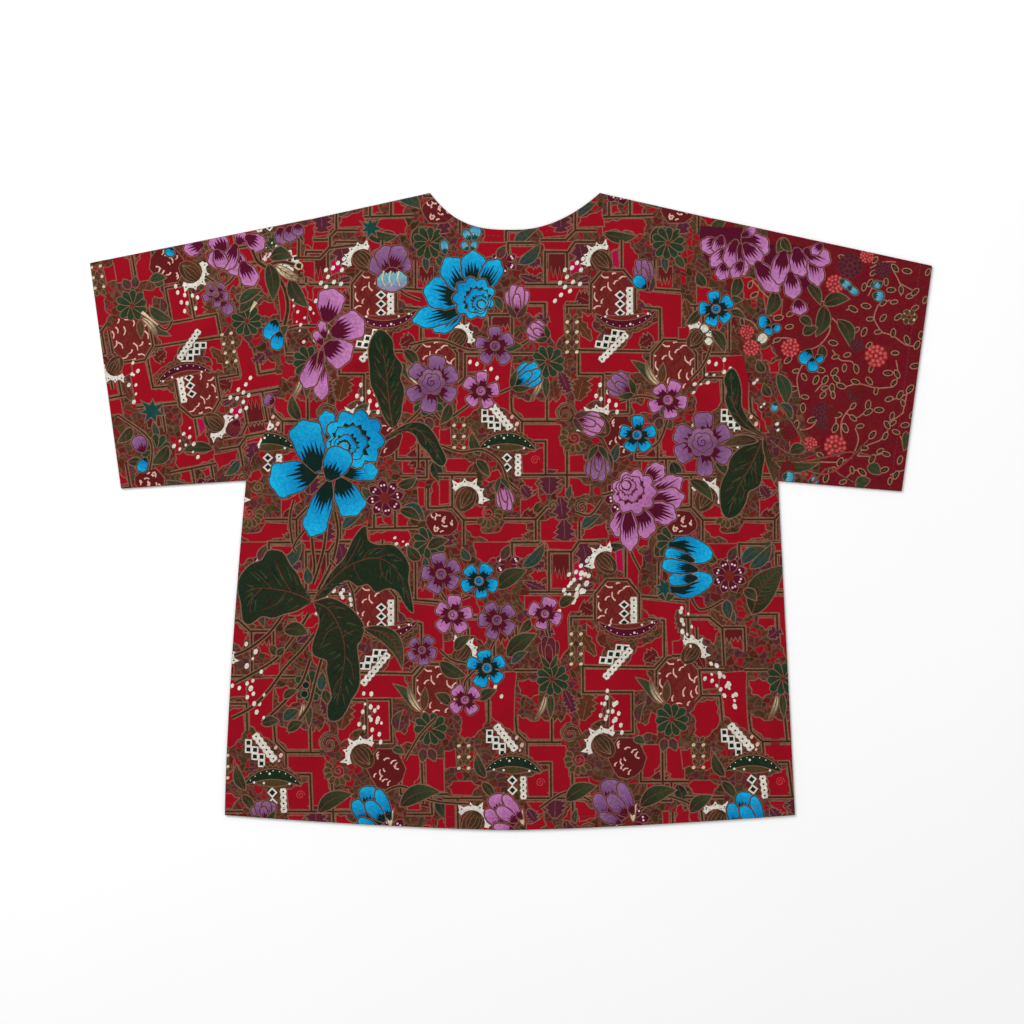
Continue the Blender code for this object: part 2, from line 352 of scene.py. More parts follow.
def openGround(cloth, corners, dye="crimson"):
    # A patch of open ground: straight along the lattice, ragged like flames on its other edges
    points, reach, step = [], 1.3, 4.6
    for a, b in zip(corners, corners[1:] + corners[:1]):
        dx, dy, length = wayOf(a, b)
        points.append(a)
        if min(abs(dx), abs(dy)) < 0.12 * length or length < 1.4 * step:
            continue
        span, count = spanOf(a, b), max(2, round(length / step))
        points += [span(k / count, reach * (-1.0 if k % 2 else 0.25)) for k in range(1, count)]
    edged(cloth, points, dye, 1.0)


def squiggle(cloth, spot, turn, length):
    # A short pale arc
    run = [polar(spot, length * reach, turn + more) for reach, more in ((0.5, 180), (0.2, 90), (0.5, 0))]
    thinLine(cloth, curve(run, 2), 1.7, "blush", 0.9)


def netStrip(cloth, start, end, width, cells, rows=2):
    # White net: staggered rows of diamond meshes round dark holes
    span, step, high = spanOf(start, end), 1.0 / cells, (0.5 if rows == 1 else 0.40) * width
    for k in range(rows * cells):
        row = k % rows
        share, side = step * (k // rows + 0.5 + 0.5 * row), (0.5 * (rows - 1) - row) * high
        for size, dye in ((1.04, "white"), (0.60, "ink")):
            cloth.paint([span(share + 0.5 * step * size * u, side + high * size * v)
                         for u, v in ((1, 0), (0, 1), (-1, 0), (0, -1))], dye)


def laceStrip(cloth, start, end, width, beads):
    # White lace: scalloped edges and a row of dark pinholes
    span = spanOf(start, end)
    rim = [(k / (2 * beads), 0.5 * width * (1.15 if k % 2 else 0.80)) for k in range(2 * beads + 1)]
    edged(cloth, [span(t, half) for t, half in rim] + [span(t, -half) for t, half in rim[::-1]], "white", 0.5)
    for k in range(beads):
        cloth.paint(disc(span((k + 0.5) / beads), 1.0, 6), "ink")


def crown(cloth, centre, radius, turn, spread):
    # A dark seed with four veins under a white crown of five beaded spikes
    fade = ("leaf", polar(centre, radius, turn + 90), polar(centre, radius, turn - 90))
    edged(cloth, disc(centre, radius * 0.84, 12, 0.70, turn), "brown", 0.7, fade)
    for side in (-0.40, -0.15, 0.15, 0.40):
        vein = [polar(centre, radius * 0.70, turn + 180), polar(centre, radius * side, turn + 90),
                polar(polar(centre, radius * side * 0.7, turn + 90), radius * 0.6, turn)]
        thinLine(cloth, curve(vein, 3), 0.7, "tan", 0.4)
    thinLine(cloth, [polar(centre, radius * 0.98, turn + spread * (k / 8 - 0.5)) for k in range(9)], 4.4, "white")
    for k in range(5):
        angle = turn + spread * ((k + 0.5) / 5 - 0.5)
        spike = polar(centre, radius * (1.34 if k % 2 else 1.52), angle)
        cloth.paint([polar(centre, radius, angle - 13), spike, polar(centre, radius, angle + 13)], "white")
        cloth.paint(disc(polar(centre, radius * 1.10, angle), 0.9, 5), "ink")


def bowl(cloth, centre, radius, turn, spread, thickness, dye="plum", band="russet"):
    # A crescent under a brown band, with pale beads along it and small flames under it
    def rim(share, reach, power=0.6):
        return [polar(centre, radius + reach * math.sin(math.pi * k / 12) ** power,
                      turn + spread * share * (k / 12 - 0.5)) for k in range(13)]
    inner = rim(1.0, -thickness)[::-1]
    flames = [polar(centre, radius + (3.6 if k % 2 else 1.6), turn + spread * 0.92 * (k / 24 - 0.5)) for k in range(25)]
    edged(cloth, flames + inner, "brown", 0.7)
    edged(cloth, rim(0.96, 0.0) + rim(0.80, -1.75 * thickness, 0.4)[::-1], band, 0.8)
    edged(cloth, rim(1.0, 0.0) + inner, dye, 0.8)
    for k in range(9):
        cloth.paint(disc(polar(centre, radius - 1.7, turn + spread * (0.1 * k - 0.40)), 0.62, 5), "white")
    for share, depth in ((-0.36, 0.8), (0.06, 0.45), (0.22, 1.2), (0.38, 0.6)):
        cloth.paint(disc(polar(centre, radius - thickness * depth, turn + spread * share), 1.2, 6), "white")


def blob(cloth, centre, wide, high, seed):
    # A dark rounded ground, with short pale arcs that follow each other up and down
    edged(cloth, [(centre[0] + wide * math.cos(k * 0.524) * (1 + 0.08 * math.sin(k * 2.1 + seed)),
                   centre[1] + high * math.sin(k * 0.524) * (1 + 0.08 * math.sin(k * 2.9 + seed))) for k in range(12)],
          "maroon", 0.9)
    rng = random.Random(seed)
    for k in range(12):
        t = (k + 0.5) / 12
        x = centre[0] + 1.5 * wide * (0.34 * math.sin(9.0 * t + seed) + rng.uniform(-0.14, 0.14))
        turn = 90 + 50 * math.cos(9.0 * t + seed) + rng.uniform(-35, 35)
        squiggle(cloth, (x, centre[1] + 1.5 * high * (t - 0.5)), turn, rng.uniform(3.4, 6.4))


def pearlFlower(cloth, centre, radius, petals, turn=10.0):
    # A plum flower with a pair of white pearls on each petal
    angles = [turn + 360.0 * k / petals for k in range(petals)]
    for angle in angles:
        middle = polar(centre, radius * 0.62, angle)
        edged(cloth, disc(middle, radius * 0.42, 7, 0.62, angle), "wine", 0.8, ("plum", centre, middle))
    cloth.paint(disc(centre, radius * 0.34, 8), "russet")
    for angle in angles:
        for side in (-7, 7):
            cloth.paint(disc(polar(centre, radius * 0.72, angle + side), 1.15, 5), "pink")


def halfOpen(cloth, middle, look, turn, size, seed):
    # A half-open peony from the side: a round top petal, a petal at each side and a long folded one in front
    turned = spanOf(middle, polar(middle, 1.0, turn))

    def near(u, v):
        return turned(u * size, v * size)
    leaf(cloth, near(8, -20), near(-2, 16), 30 * size, 0.0, look[2], look[2], -1)
    leaf(cloth, near(20, -20), near(23, -3), 5 * size, 0.1, "cream", "white", -1)
    for x0, y0, x1, y1, w, reach in ((-2, 2, -3, 22, 21, 0.50), (20, -13, 6, 19, 13, 0.36), (-9, -15, -16, 8, 14, 0.36),
                                     (8, -22, -14, -13, 10, 0.30), (14, -15, -5, 6, 15, 0.42)):
        petal(cloth, near(x0, y0), near(x1, y1), w * size, look, reach, 4, 2, seed * 13 + w, 0.07)


# The lantern: its corners as shares of its size, its faint folds, and its squiggles: across, up, turn, length
lanternFrame = ((-0.5, 0.24), (-0.24, 0.5), (0.24, 0.5), (0.5, 0.24), (0.5, -0.24), (0.24, -0.5), (-0.24, -0.5),
                (-0.5, -0.24))
lanternFolds = ((-8, 24, -14, 6, -6, -6, -12, -22), (-2, 24, 6, 8, -4, -2, 2, -22), (-19, -6, -10, 6, -2, -8, 8, 0),
                (8, 22, 14, 8, 8, -6, 14, -20))
lanternArcs = ((-17, 15, 50, 8), (-19, 11, 140, 5), (-8, 20, 160, 8), (1, 22, 10, 4), (9, 18, 20, 7), (-9, 8, 40, 6),
               (-3, 10, 110, 9), (3, 14, 40, 6), (-16, 0, 105, 9), (-10, -4, 70, 5), (-15, -10, 20, 7),
               (-13, -19, 150, 6), (-5, -14, 80, 6))
openArcs = ((12, 6, 120, 8), (17, 4, 60, 8), (6, -8, 80, 9), (13, -10, 100, 7), (18, -6, 90, 8), (0, -20, 10, 7),
            (10, -19, 60, 5))


def lantern(cloth, centre, width, height, hanging=True):
    # An eight-sided frame filled with squiggles, with net and lace hanging at one side
    x, y = centre
    outline = [(x + width * u, y + height * v) for u, v in lanternFrame]
    cloth.paint(outline, "russet")
    for run in lanternFolds:
        thinLine(cloth, curve([(x + u, y + v) for u, v in zip(run[::2], run[1::2])], 4), 1.0, "maroon", 0.6)
    for u, v, turn, length in lanternArcs + (() if hanging else openArcs):
        squiggle(cloth, (x + u, y + v), turn, length)
    if hanging:
        netStrip(cloth, (x + width * 0.16, y + height * 0.12), (x + width * 0.16, y - height * 0.38), 10.0, 3, 1)
        laceStrip(cloth, (x + width * 0.38, y + height * 0.18), (x + width * 0.38, y - height * 0.38), 6.6, 5)
    linesOf(cloth, [outline[7:] + outline[:5]])


def budColumn(cloth, top, height, pairs):
    # Pairs of small leaves and pale buds up a stalk
    x, y = top
    for k in range(pairs):
        low = y - height * (k + 0.5) / pairs
        for side in (-1, 1):
            edged(cloth, disc((x + side * 3.4, low), 2.7, 7, 0.7, 60 * side), "olive", 0.8)
            bud = (x + side * 4.6, low - height * 0.5 / pairs)
            edged(cloth, disc(bud, 2.0, 7, 0.8, 30), "cream", 0.8, None, "olive")


def peonyHeart(cloth, centre, radius, look, turn, seed):
    # The folded heart of a peony: ruffled cups in each other, open to one side, with dark brushed folds between them
    body, light, flame = look
    rng = random.Random(seed)
    size, middle = radius, centre
    for waves in (9, 6, 4):
        outline = [polar(middle, size * (0.90 + 0.22 * abs(math.sin(math.pi * k / 4)) + 0.06 * rng.random()),
                         turn + 90.0 * k / waves) for k in range(waves * 4)]
        cloth.paint(grown(outline, 1.1 if waves == 9 else 0.5), "tan")
        cloth.paint(grown(outline, 0.2), flame)
        fade = (light, polar(middle, size, turn + 180), polar(middle, size * 0.4, turn))
        cloth.paint(grown(outline, -0.5), body, fade)
        fold = polar(middle, size * 0.20, turn)
        cloth.paint([polar(fold, size * (rng.uniform(0.70, 0.86) if k % 2 else 0.64), turn + 12.0 * k)
                     for k in range(30)], flame)
        middle = polar(middle, size * 0.27, turn)
        size *= 0.62
    edged(cloth, disc(middle, size * 0.9, 9, 0.8, turn), light, 0.6)


def sideBud(cloth, base, tip, width, look, cup, seed):
    # A bud seen from the side: petals rising from a green cup
    span = spanOf(base, tip)
    for shift, high, wide in (
            (0.40, 0.80, 0.46), (-0.40, 0.84, 0.46), (0.16, 1.0, 0.48), (-0.16, 0.96, 0.44), (0.02, 0.72, 0.34)):
        petal(cloth, span(0.06, shift * width * 0.25), span(high, shift * width), width * wide, look, 0.62, 3, 2,
              seed + int(90 * high), 0.10)
    for side in (1, -1):
        leaf(cloth, base, span(0.40, side * width * 0.42), width * 0.24, 0.06 * side, cup, "leafLight", -1, "vein", 0.7)



# Ground repeat, charted in photo pixels inside one tile of the back
latticeRuns = (
    (535,243, 508,243, 508,262), (545,284, 545,252, 568,252, 575,242, 595,242), (567,252, 567,270),
    (525,284.5, 591,284.5, 591,306.5, 567,306.5, 567,330), (527,303.5, 545,303.5, 545,318), (490,315, 512,315, 512,337),
    (576,350, 650,351.5, 660,342, 660,309, 644,307.5), (578.5,350, 578.5,374.5, 603,374.5, 603,404), (660,342, 681,342),
    (634,288, 681,291), (621.5,240, 621.5,272), (464,315, 464,340), (453,323, 454.5,341, 438,341),
    (490,354, 465,354, 465,378, 459,384), (465,378, 484,378, 484,402), (510,354, 534,354),
    (451,306, 477,306, 490,316, 490,350), (456,306, 456,336), (654.5,260, 654.5,289),
    (511,398, 512,412, 522,421.4, 556,421.4), (547,398, 547,421.4), (522,421.4, 522,434),
    (535,441.3, 545.6,441.3, 545.6,475), (521,475, 588,475), (567,450, 567,495), (657.5,424, 657.5,468),
    (635.5,414, 635.5,459, 683,459), (605,374, 628,374, 628,412, 612,412), (640,477.5, 666,477.5, 666,459),
    (667,488, 667,508, 684,508), (607,529, 657,527.5), (634,508, 634,528), (613,514, 613,529), (438,475, 477,475),
    (452.2,475, 452.2,507, 438,508), (453,508, 463.7,520, 484,520), (463.7,520, 463.7,545),
    (504,519.4, 535.7,519.4, 535.7,542.4), (535.7,519.4, 547,507, 556,507), (510,556, 510,542.4, 535.7,542.4),
    (600.7,542.4, 579.3,542.4, 570,552, 545.6,552, 545.6,556), (579.3,521, 579.3,542.4),
)


# Open red ground between the thickets, charted in photo pixels
openPatches = (
    (470,243, 507,243, 507,262, 497,261, 490,256, 480,262, 472,256), (511,247, 534,247, 529,253, 520,257, 512,258),
    (526,270, 531,266, 536,268, 541,267, 543,272, 536,276, 530,277), (541,242, 578,242, 569,250, 545,249),
    (548,270, 552,264, 555,268, 559,261, 561,266, 566,261, 566,281, 548,281), (521,288, 587,288, 583,292, 585,299,
     575,301, 566,301, 563,306, 564,334, 559,338, 556,348, 551,338, 548,331, 548,302, 530,302, 521,299),
    (527,307, 542,307, 542,313, 533,317, 526,312),
    (580,322, 583,313, 588,317, 592,314, 594,320, 592,327, 600,333, 597,341, 596,349, 580,349),
    (628,340, 633,333, 642,330, 652,325, 658,322, 658,341, 652,342, 646,339, 641,344, 640,349, 622,349),
    (638,291, 681,295, 681,340, 664,340, 662,308, 645,304, 639,299),
    (622,243, 630,243, 633,250, 638,255, 638,262, 634,270, 634,284, 629,277, 623,272),
    (655,283, 659,279, 661,283, 666,272, 668,278, 672,271, 672,288, 655,288), (458,286, 472,289, 476,303, 458,303),
    (459,309, 476,309, 486,318, 480,330, 470,322, 460,324), (494,318, 510,318, 509,336, 500,333, 495,326),
    (440,328, 450,325, 450,339, 440,339), (466,357, 480,357, 490,362, 492,371, 478,371, 466,372),
    (486,357, 512,355, 510,372, 509,398, 509,412, 500,407, 487,397, 487,388, 483,372),
    (462,384, 480,381, 481,402, 478,408, 470,415, 462,422, 455,414, 458,402, 453,394),
    (514,364, 524,362, 536,366, 534,376, 526,380, 516,376),
    (514,396, 522,399, 530,402, 536,398, 545,402, 545,418, 524,418, 514,408),
    (549,404, 553,399, 556,403, 560,399, 562,394, 566,398, 566,402, 558,406, 555,414, 557,418, 549,418),
    (575,400, 582,393, 590,392, 588,381, 594,377, 601,376, 601,400, 590,402, 585,409, 577,413, 573,408),
    (581,353, 642,353, 646,365, 639,372, 626,373, 626,410, 605,410, 605,374, 581,373),
    (632,403, 637,403, 641,406, 645,399, 647,393, 651,395, 652,404, 652,414, 646,412, 634,415),
    (638,424, 655,424, 655,455, 638,455), (662,427, 679,427, 679,456, 662,456),
    (650,448, 655,443, 660,447, 665,452, 664,455, 650,456), (642,461, 654,461, 654,473, 642,473),
    (657,488, 663,488, 663,506, 658,506), (670,495, 672,483, 676,481, 680,488, 683,480, 683,506, 670,506),
    (616,518, 621,517, 624,524, 616,526), (637,514, 642,514, 648,519, 646,526, 637,526),
    (607,534, 630,531, 647,531, 650,537, 648,546, 640,547, 632,542, 625,544, 618,541, 607,547),
    (522,425, 560,425, 565,431, 559,437, 563,448, 566,458, 566,472, 547,473, 547,440, 528,439, 522,433),
    (570,456, 583,455, 586,462, 584,472, 570,472), (440,430, 450,428, 451,445, 440,447),
    (453,446, 462,441, 469,437, 470,427, 474,434, 472,446, 463,449),
    (443,464, 448,459, 466,459, 473,463, 466,472, 447,471), (522,455, 530,452, 543,448, 545,473, 523,473),
    (440,480, 449,480, 449,503, 440,504), (454,479, 461,479, 459,488, 455,494),
    (460,513, 467,510, 476,505, 484,507, 483,517, 466,517), (486,480, 492,472, 498,470, 501,476, 497,481, 490,482),
    (522,479, 538,479, 534,484, 538,488, 530,496, 527,489),
    (521,517, 521,500, 530,498, 538,491, 540,501, 533,507, 528,514), (557,496, 563,487, 566,480, 566,496, 560,498),
    (570,478, 579,479, 583,484, 590,485, 589,494, 580,496, 574,497, 570,485),
    (580,505, 590,504, 595,508, 589,513, 582,514), (465,525, 482,524, 480,530, 486,534, 497,533, 502,528, 505,523,
     526,524, 526,530, 531,531, 528,537, 512,538, 508,543, 508,556, 502,557, 500,562, 494,557, 487,553, 489,543,
     484,538, 472,536, 467,530), (514,546, 524,545, 520,550, 524,554, 514,557),
    (541,521, 556,517, 561,523, 566,528, 574,530, 577,538, 570,547, 548,549, 541,540),
    (582,537, 585,530, 595,526, 606,522, 608,538, 583,539), (611,552, 620,546, 628,550, 622,560, 613,566),
)


class Tile:
    # One repeat of the ground, moved; the lowest row also sags where the cloth was stretched on the table
    def __init__(self, dx, dy, sag=0.0, lean=0.0, drift=0.0):
        self.dx, self.dy, self.sag, self.lean, self.drift = dx, dy, sag, lean, drift

    def __call__(self, px, py):
        low = max(0.0, py - 251.5)
        drop = self.sag * (1.0 - math.exp(-low / 65.0)) + self.lean * low
        return at(px + self.dx + self.drift * low * low, py + self.dy + drop)


def track(run, where=at):
    # Positions from x and y in turn
    return [where(x, y) for x, y in zip(run[::2], run[1::2])]


twoEnded = (leaf, petal, ragged, netStrip, laceStrip, sideBud)


def drawn(cloth, draw, rows, where=at):
    # Rows: a place or both ends, then the settings of what is drawn there
    ends = 4 if draw in twoEnded else 2
    for row in rows:
        draw(cloth, *track(row[:ends], where), *row[ends:])


def grounds(cloth, patches, where=at, dye="crimson"):
    for corners in patches:
        openGround(cloth, track(corners, where), dye)


def petals(cloth, rows, look, reach, teeth, scallops, seed, ruffle=0.12, shoulder=0.55):
    # Rows: foot, tip, width
    for k, row in enumerate(rows):
        drawn(cloth, petal, [row + (look, reach, teeth, scallops, seed + k, ruffle, shoulder)])


def groundTile(cloth, p):
    grounds(cloth, openPatches, p)
    grounds(cloth, ((570,262, 576,256, 583,258, 582,272, 571,275), (612,252, 618,250, 619,268, 613,266)), p, "magenta")
    # flame boxes and ragged leaves of the thickets
    drawn(cloth, flameBox, (
        (549,254, 16, 26, 549), (658.5,267, 13, 19, 658), (492,317, 17, 13, 492), (549,555, 16, 10, 549)), p)
    drawn(cloth, ragged, (
        (591,302, 577,296, 16, "maroon", 1), (591,340, 576,318, 12, "brown", 12), (535.7,532, 524,545, 14, "brown", 2),
        (535.7,521, 524,512, 14, "maroon", 3), (578,400, 584,376, 20, "brown", 4), (560,372, 569,392, 12, "wine", 5),
        (536,324, 548,316, 13, "wine", 6), (522,486, 530,497, 12, "wine", 7), (549,494, 550,470, 22, "wine", 8),
        (560,497, 563,520, 17, "wine", 9), (564,520, 565,544, 20, "wine", 10), (445,516, 449,545, 16, "wine", 11),
        (527,262, 540,262, 12, "wine", 13), (520,276, 544,284, 10, "wine", 14), (585,268, 578,240, 18, "wine", 15),
        (590,278, 578,282, 8, "wine", 16), (446,300, 452,322, 12, "brown", 17), (640,345, 652,337, 14, "maroon", 18),
        (480,300, 492,318, 13, "brown", 19), (664,470, 650,452, 18, "maroon", 20), (632,500, 618,512, 12, "wine", 21),
        (470,352, 462,336, 12, "maroon", 22), (520,545, 533,545, 10, "brown", 23), (600,398, 606,378, 10, "brown", 24)),
        p)
    linesOf(cloth, [track(run, p) for run in latticeRuns])
    for draw, *row in (
            (lantern, 613, 297, 42, 51), (bowl, 624, 290, 36, 274, 108, 6.5), (lantern, 674, 366, 42, 50, False),
            (blob, 622, 436, 17, 20, 21), (blob, 442, 523, 15, 12, 22), (netStrip, 596, 349, 620, 332, 11, 3),
            (crown, 457, 339, 13, 52, 140), (laceStrip, 600, 361, 627, 334, 6.0, 7), (budColumn, 572, 312, 38, 4),
            (budColumn, 459, 414, 32, 3)):
        drawn(cloth, draw, [row], p)
    for size, lean, run in (
            (2.6, 55, (583,259, 577,263, 572,268, 581,270, 565,270, 567,277, 573,282, 560,283, 565,287, 580,284,
             570,291, 561,295, 555,301)), (2.4, 70, (470,362, 477,364, 485,360, 485,372, 497,378, 491,369)),
            (2.5, 80, (612,384, 600,385, 608,392, 614,394, 596,396, 601,399, 609,401, 616,405, 617,412))):
        for spot in track(run, p):
            dots(cloth, [spot], size, lean)
    for draw, *row in (
            (crown, 602, 261, 14, 134, 135), (crown, 599, 425, 15, 130, 160), (crown, 466, 499, 15, 62, 160),
            (coil, 565.5, 413.8, 10.5, 1.5, 0, 1.1), (coil, 582, 507, 8.0, 1.4, 40), (coil, 497, 487, 6.0, 1.4, 180),
            (coil, 553, 506, 4.6, 1.2, 0), (coil, 535, 460, 4.6, 1.8, 0, 0.8, "coral", None),
            (fiddlehead, 574, 438, 13, 150, 170), (fiddlehead, 488, 513, 13, 5, -140),
            (netStrip, 480, 411, 499, 430, 11, 3), (laceStrip, 491, 405, 511, 429, 7.0, 6)):
        drawn(cloth, draw, [row], p)
    dots(cloth, track((512, 417, 517, 424, 515, 429), p), 2.2, 60, "blush")
    for draw, *row in (
            (bowl, 507, 466, 31, 89, 118, 9.5, "leafDeep", "olive"), (netStrip, 507, 453, 507, 472, 9.5, 2, 1),
            (laceStrip, 518, 454, 518, 476, 5.6, 4)):
        drawn(cloth, draw, [row], p)
    drawn(cloth, leaf, (
        (582,528, 600,515, 8, 0.1, "teal"), (569,499, 571,486, 5, 0.1, "teal"), (518,560, 541,541, 9, 0.12, "teal"),
        (519,264, 540,244, 10, -0.1, "teal"), (493,297, 502,311, 7, 0.1, "teal"), (546,376, 546,398, 6, 0.0, "green"),
        (541,377, 531,399, 4, 0.08, "cream"), (661,383, 663,364, 7, 0.0, "brown"), (664,256, 666,272, 6, 0.0, "teal"),
        (676,256, 684,268, 7, 0.0, "green"), (480,455, 472,433, 9, 0.1), (477,460, 489,476, 8, 0.05)), p)
    drawn(cloth, daisy, ((548, 362, 15.5, 8), (668, 243, 15.5, 12), (667, 400, 15.8, 3)), p)
    drawn(cloth, pearlFlower, ((624, 497, 18, 8), (504, 262, 12, 6, 30)), p)
    drawn(cloth, leaf, (
        (654,384, 632,361, 9, -0.1, "green"), (659,385, 646,362, 5, 0.1, "cream"), (629,418, 640,422, 7, 0.1, "green"),
        (660,418, 658,430, 8, 0.0, "wine"), (666,418, 671,429, 8, 0.0, "wine"), (634,402, 640,384, 7, 0.2, "wine"),
        (641,508, 663,520, 13, 0.15, "teal"), (672,462, 680,482, 11, 0.0, "ink"), (655,556, 676,541, 12, 0.15),
        (498,258, 505,246, 8, 0.0, "wine"), (608,545, 640,548, 10, -0.1)), p)


# Stems and tendrils of the flower layer
flowerStems = (
    (309,613, 300,628, 289,643, 277,658, 259,670, 235,683), (315,633, 302,650, 285,668, 269,690, 252,707, 232,718),
    (283,615, 269,633, 250,648, 235,655), (310,660, 302,682, 289,697, 274,712, 262,722),
    (322,658, 315,683, 309,705, 297,722, 287,733), (312,582, 314.5,567, 313,550, 312,537),
    (313,584, 320,563, 325,542, 327,513), (318,590, 333,560, 338,533, 335,512), (296,552, 293,545, 290,520, 294,500),
    (305,530, 297,540, 293,548), (330,560, 352,590, 356,640), (396,430, 380,450, 372,480), (434,410, 445,420, 470,404),
    (440,445, 460,452, 482,450, 500,462, 508,482), (500,393, 514,386, 520,378), (508,482, 518,490),
    (575,512, 590,515, 602,500), (602,495, 615,492), (668,418, 660,440, 650,448, 636,452), (704,444, 740,436, 762,440),
    (660,400, 640,396, 620,402), (716,326, 706,360, 690,380), (640,515, 630,545, 640,570), (688,590, 700,610, 724,600),
    (441,592, 450,602, 470,596), (497,636, 490,650, 488,655), (478,668, 466,680, 464,690), (436,718, 420,735, 405,760),
    (440,650, 452,660, 470,664), (545,628, 550,645, 552,660), (372,800, 400,786, 430,800, 470,804),
    (540,808, 566,792, 590,800), (640,810, 665,796, 700,808), (433,384, 420,410, 400,428), (540,331, 520,345, 500,348),
    (495,346, 470,350, 440,340, 410,345), (387,268, 400,290, 420,300),
)


largeLeaves = (
    ((312,601, 303,588, 298,575, 290,565, 282,552, 268,551, 262,560, 250,565, 240,577, 238,590, 241,603, 243,620,
      250,624, 262,616, 272,618, 284,614, 298,610),
     ((312,601, 290,592, 262,588, 246,592), (292,593, 284,580, 276,562), (272,589, 262,578, 254,572), (286,592,
      276,604, 262,610), (262,588, 252,600, 250,614))),
    ((313,600, 322,588, 332,572, 345,558, 352,542, 360,530, 366,527, 368,540, 378,545, 392,545, 402,553, 409,566,
      408,580, 411,596, 413,612, 406,606, 398,592, 388,588, 376,592, 368,584, 358,586, 348,580, 336,586, 326,596),
     ((314,600, 332,580, 352,564, 378,558, 398,572, 410,604), (342,571, 352,556, 360,538), (362,561, 370,550,
      386,548), (354,563, 356,572, 362,582), (378,558, 390,554, 402,560), (380,560, 382,574, 392,584))),
    ((314,602, 330,598, 346,605, 357,615, 364,627, 361,640, 357,646, 359,665, 359,686, 351,700, 346,711, 338,720,
      329,719, 328,706, 332,697, 329,682, 327,670, 327,660, 314,655, 313,643, 319,626, 319,616),
     ((314,602, 327,608, 336,620, 343,637, 345,656, 342,676, 337,705), (327,608, 336,606, 347,610), (343,637,
      350,632, 358,630), (339,626, 328,632, 321,646), (345,656, 351,664, 354,680), (342,676, 336,684, 333,694))),
    ((393,428, 400,418, 402,405, 404,390, 400,378, 402,366, 394,354, 392,340, 381,330, 373,337, 369,350, 370,368,
      371,384, 377,398, 382,412, 387,422),
     ((393,428, 389,402, 386,370, 381,338), (389,404, 382,392, 375,384), (387,384, 380,374, 374,362), (389,400,
      395,390, 399,382), (387,376, 392,366, 395,358), (385,360, 380,352, 376,346))),
    ((380,441, 396,430, 410,423, 424,424, 434,434, 440,446, 446,459, 442,466, 434,461, 428,452, 420,444, 414,434,
      403,431, 391,438),
     ((380,441, 400,430, 418,430, 432,446, 442,463), (420,431, 424,436, 426,444), (429,441, 434,444, 438,452))),
    ((763,436, 750,431, 739,425, 730,413, 725,400, 727,391, 724,381, 728,371, 734,370, 739,380, 741,392, 741,406,
      747,418, 755,428),
     ((763,436, 745,424, 734,408, 731,385, 731,373), (737,412, 732,404, 729,396), (734,404, 737,396, 738,388))),
    ((762,440, 764,455, 762,470, 760,484, 753,489, 748,492, 745,503, 738,514, 728,518, 722,511, 720,495, 722,482,
      728,470, 730,460, 738,450, 750,443),
     ((762,440, 751,465, 738,488, 728,514), (752,462, 742,466, 732,472), (745,475, 734,482, 725,492), (751,466,
      756,474, 757,484), (741,484, 744,492, 741,502))),
)


def largeLeaf(cloth, outline, veins, streaks):
    # A large leaf with brushed streaks between its rib and side veins
    shape = curve(track(outline + outline[:2]), 3)[:-1]
    edged(cloth, shape, "leaf", 1.1, ("leafDeep", shape[0], shape[len(shape) // 2]))
    rib = curve(track(veins[0]), 4)
    for k, spot in enumerate(shape):
        near = min(range(len(rib)), key=lambda i: math.dist(rib[i], spot))
        root, low = rib[max(near - 3, 0)], streaks.uniform(0.08, 0.45)
        thinLine(cloth, [mixed(root, spot, low), mixed(root, spot, low + streaks.uniform(0.25, 0.48))],
                 streaks.uniform(1.0, 2.4), ("leafLight", "ink", "leafLight", "leafDeep", "seed")[k % 5], 0.4)
    for k, vein in enumerate(veins):
        thinLine(cloth, curve(track(vein), 4), 0.7 if k else 1.3, "vein", 0.4)


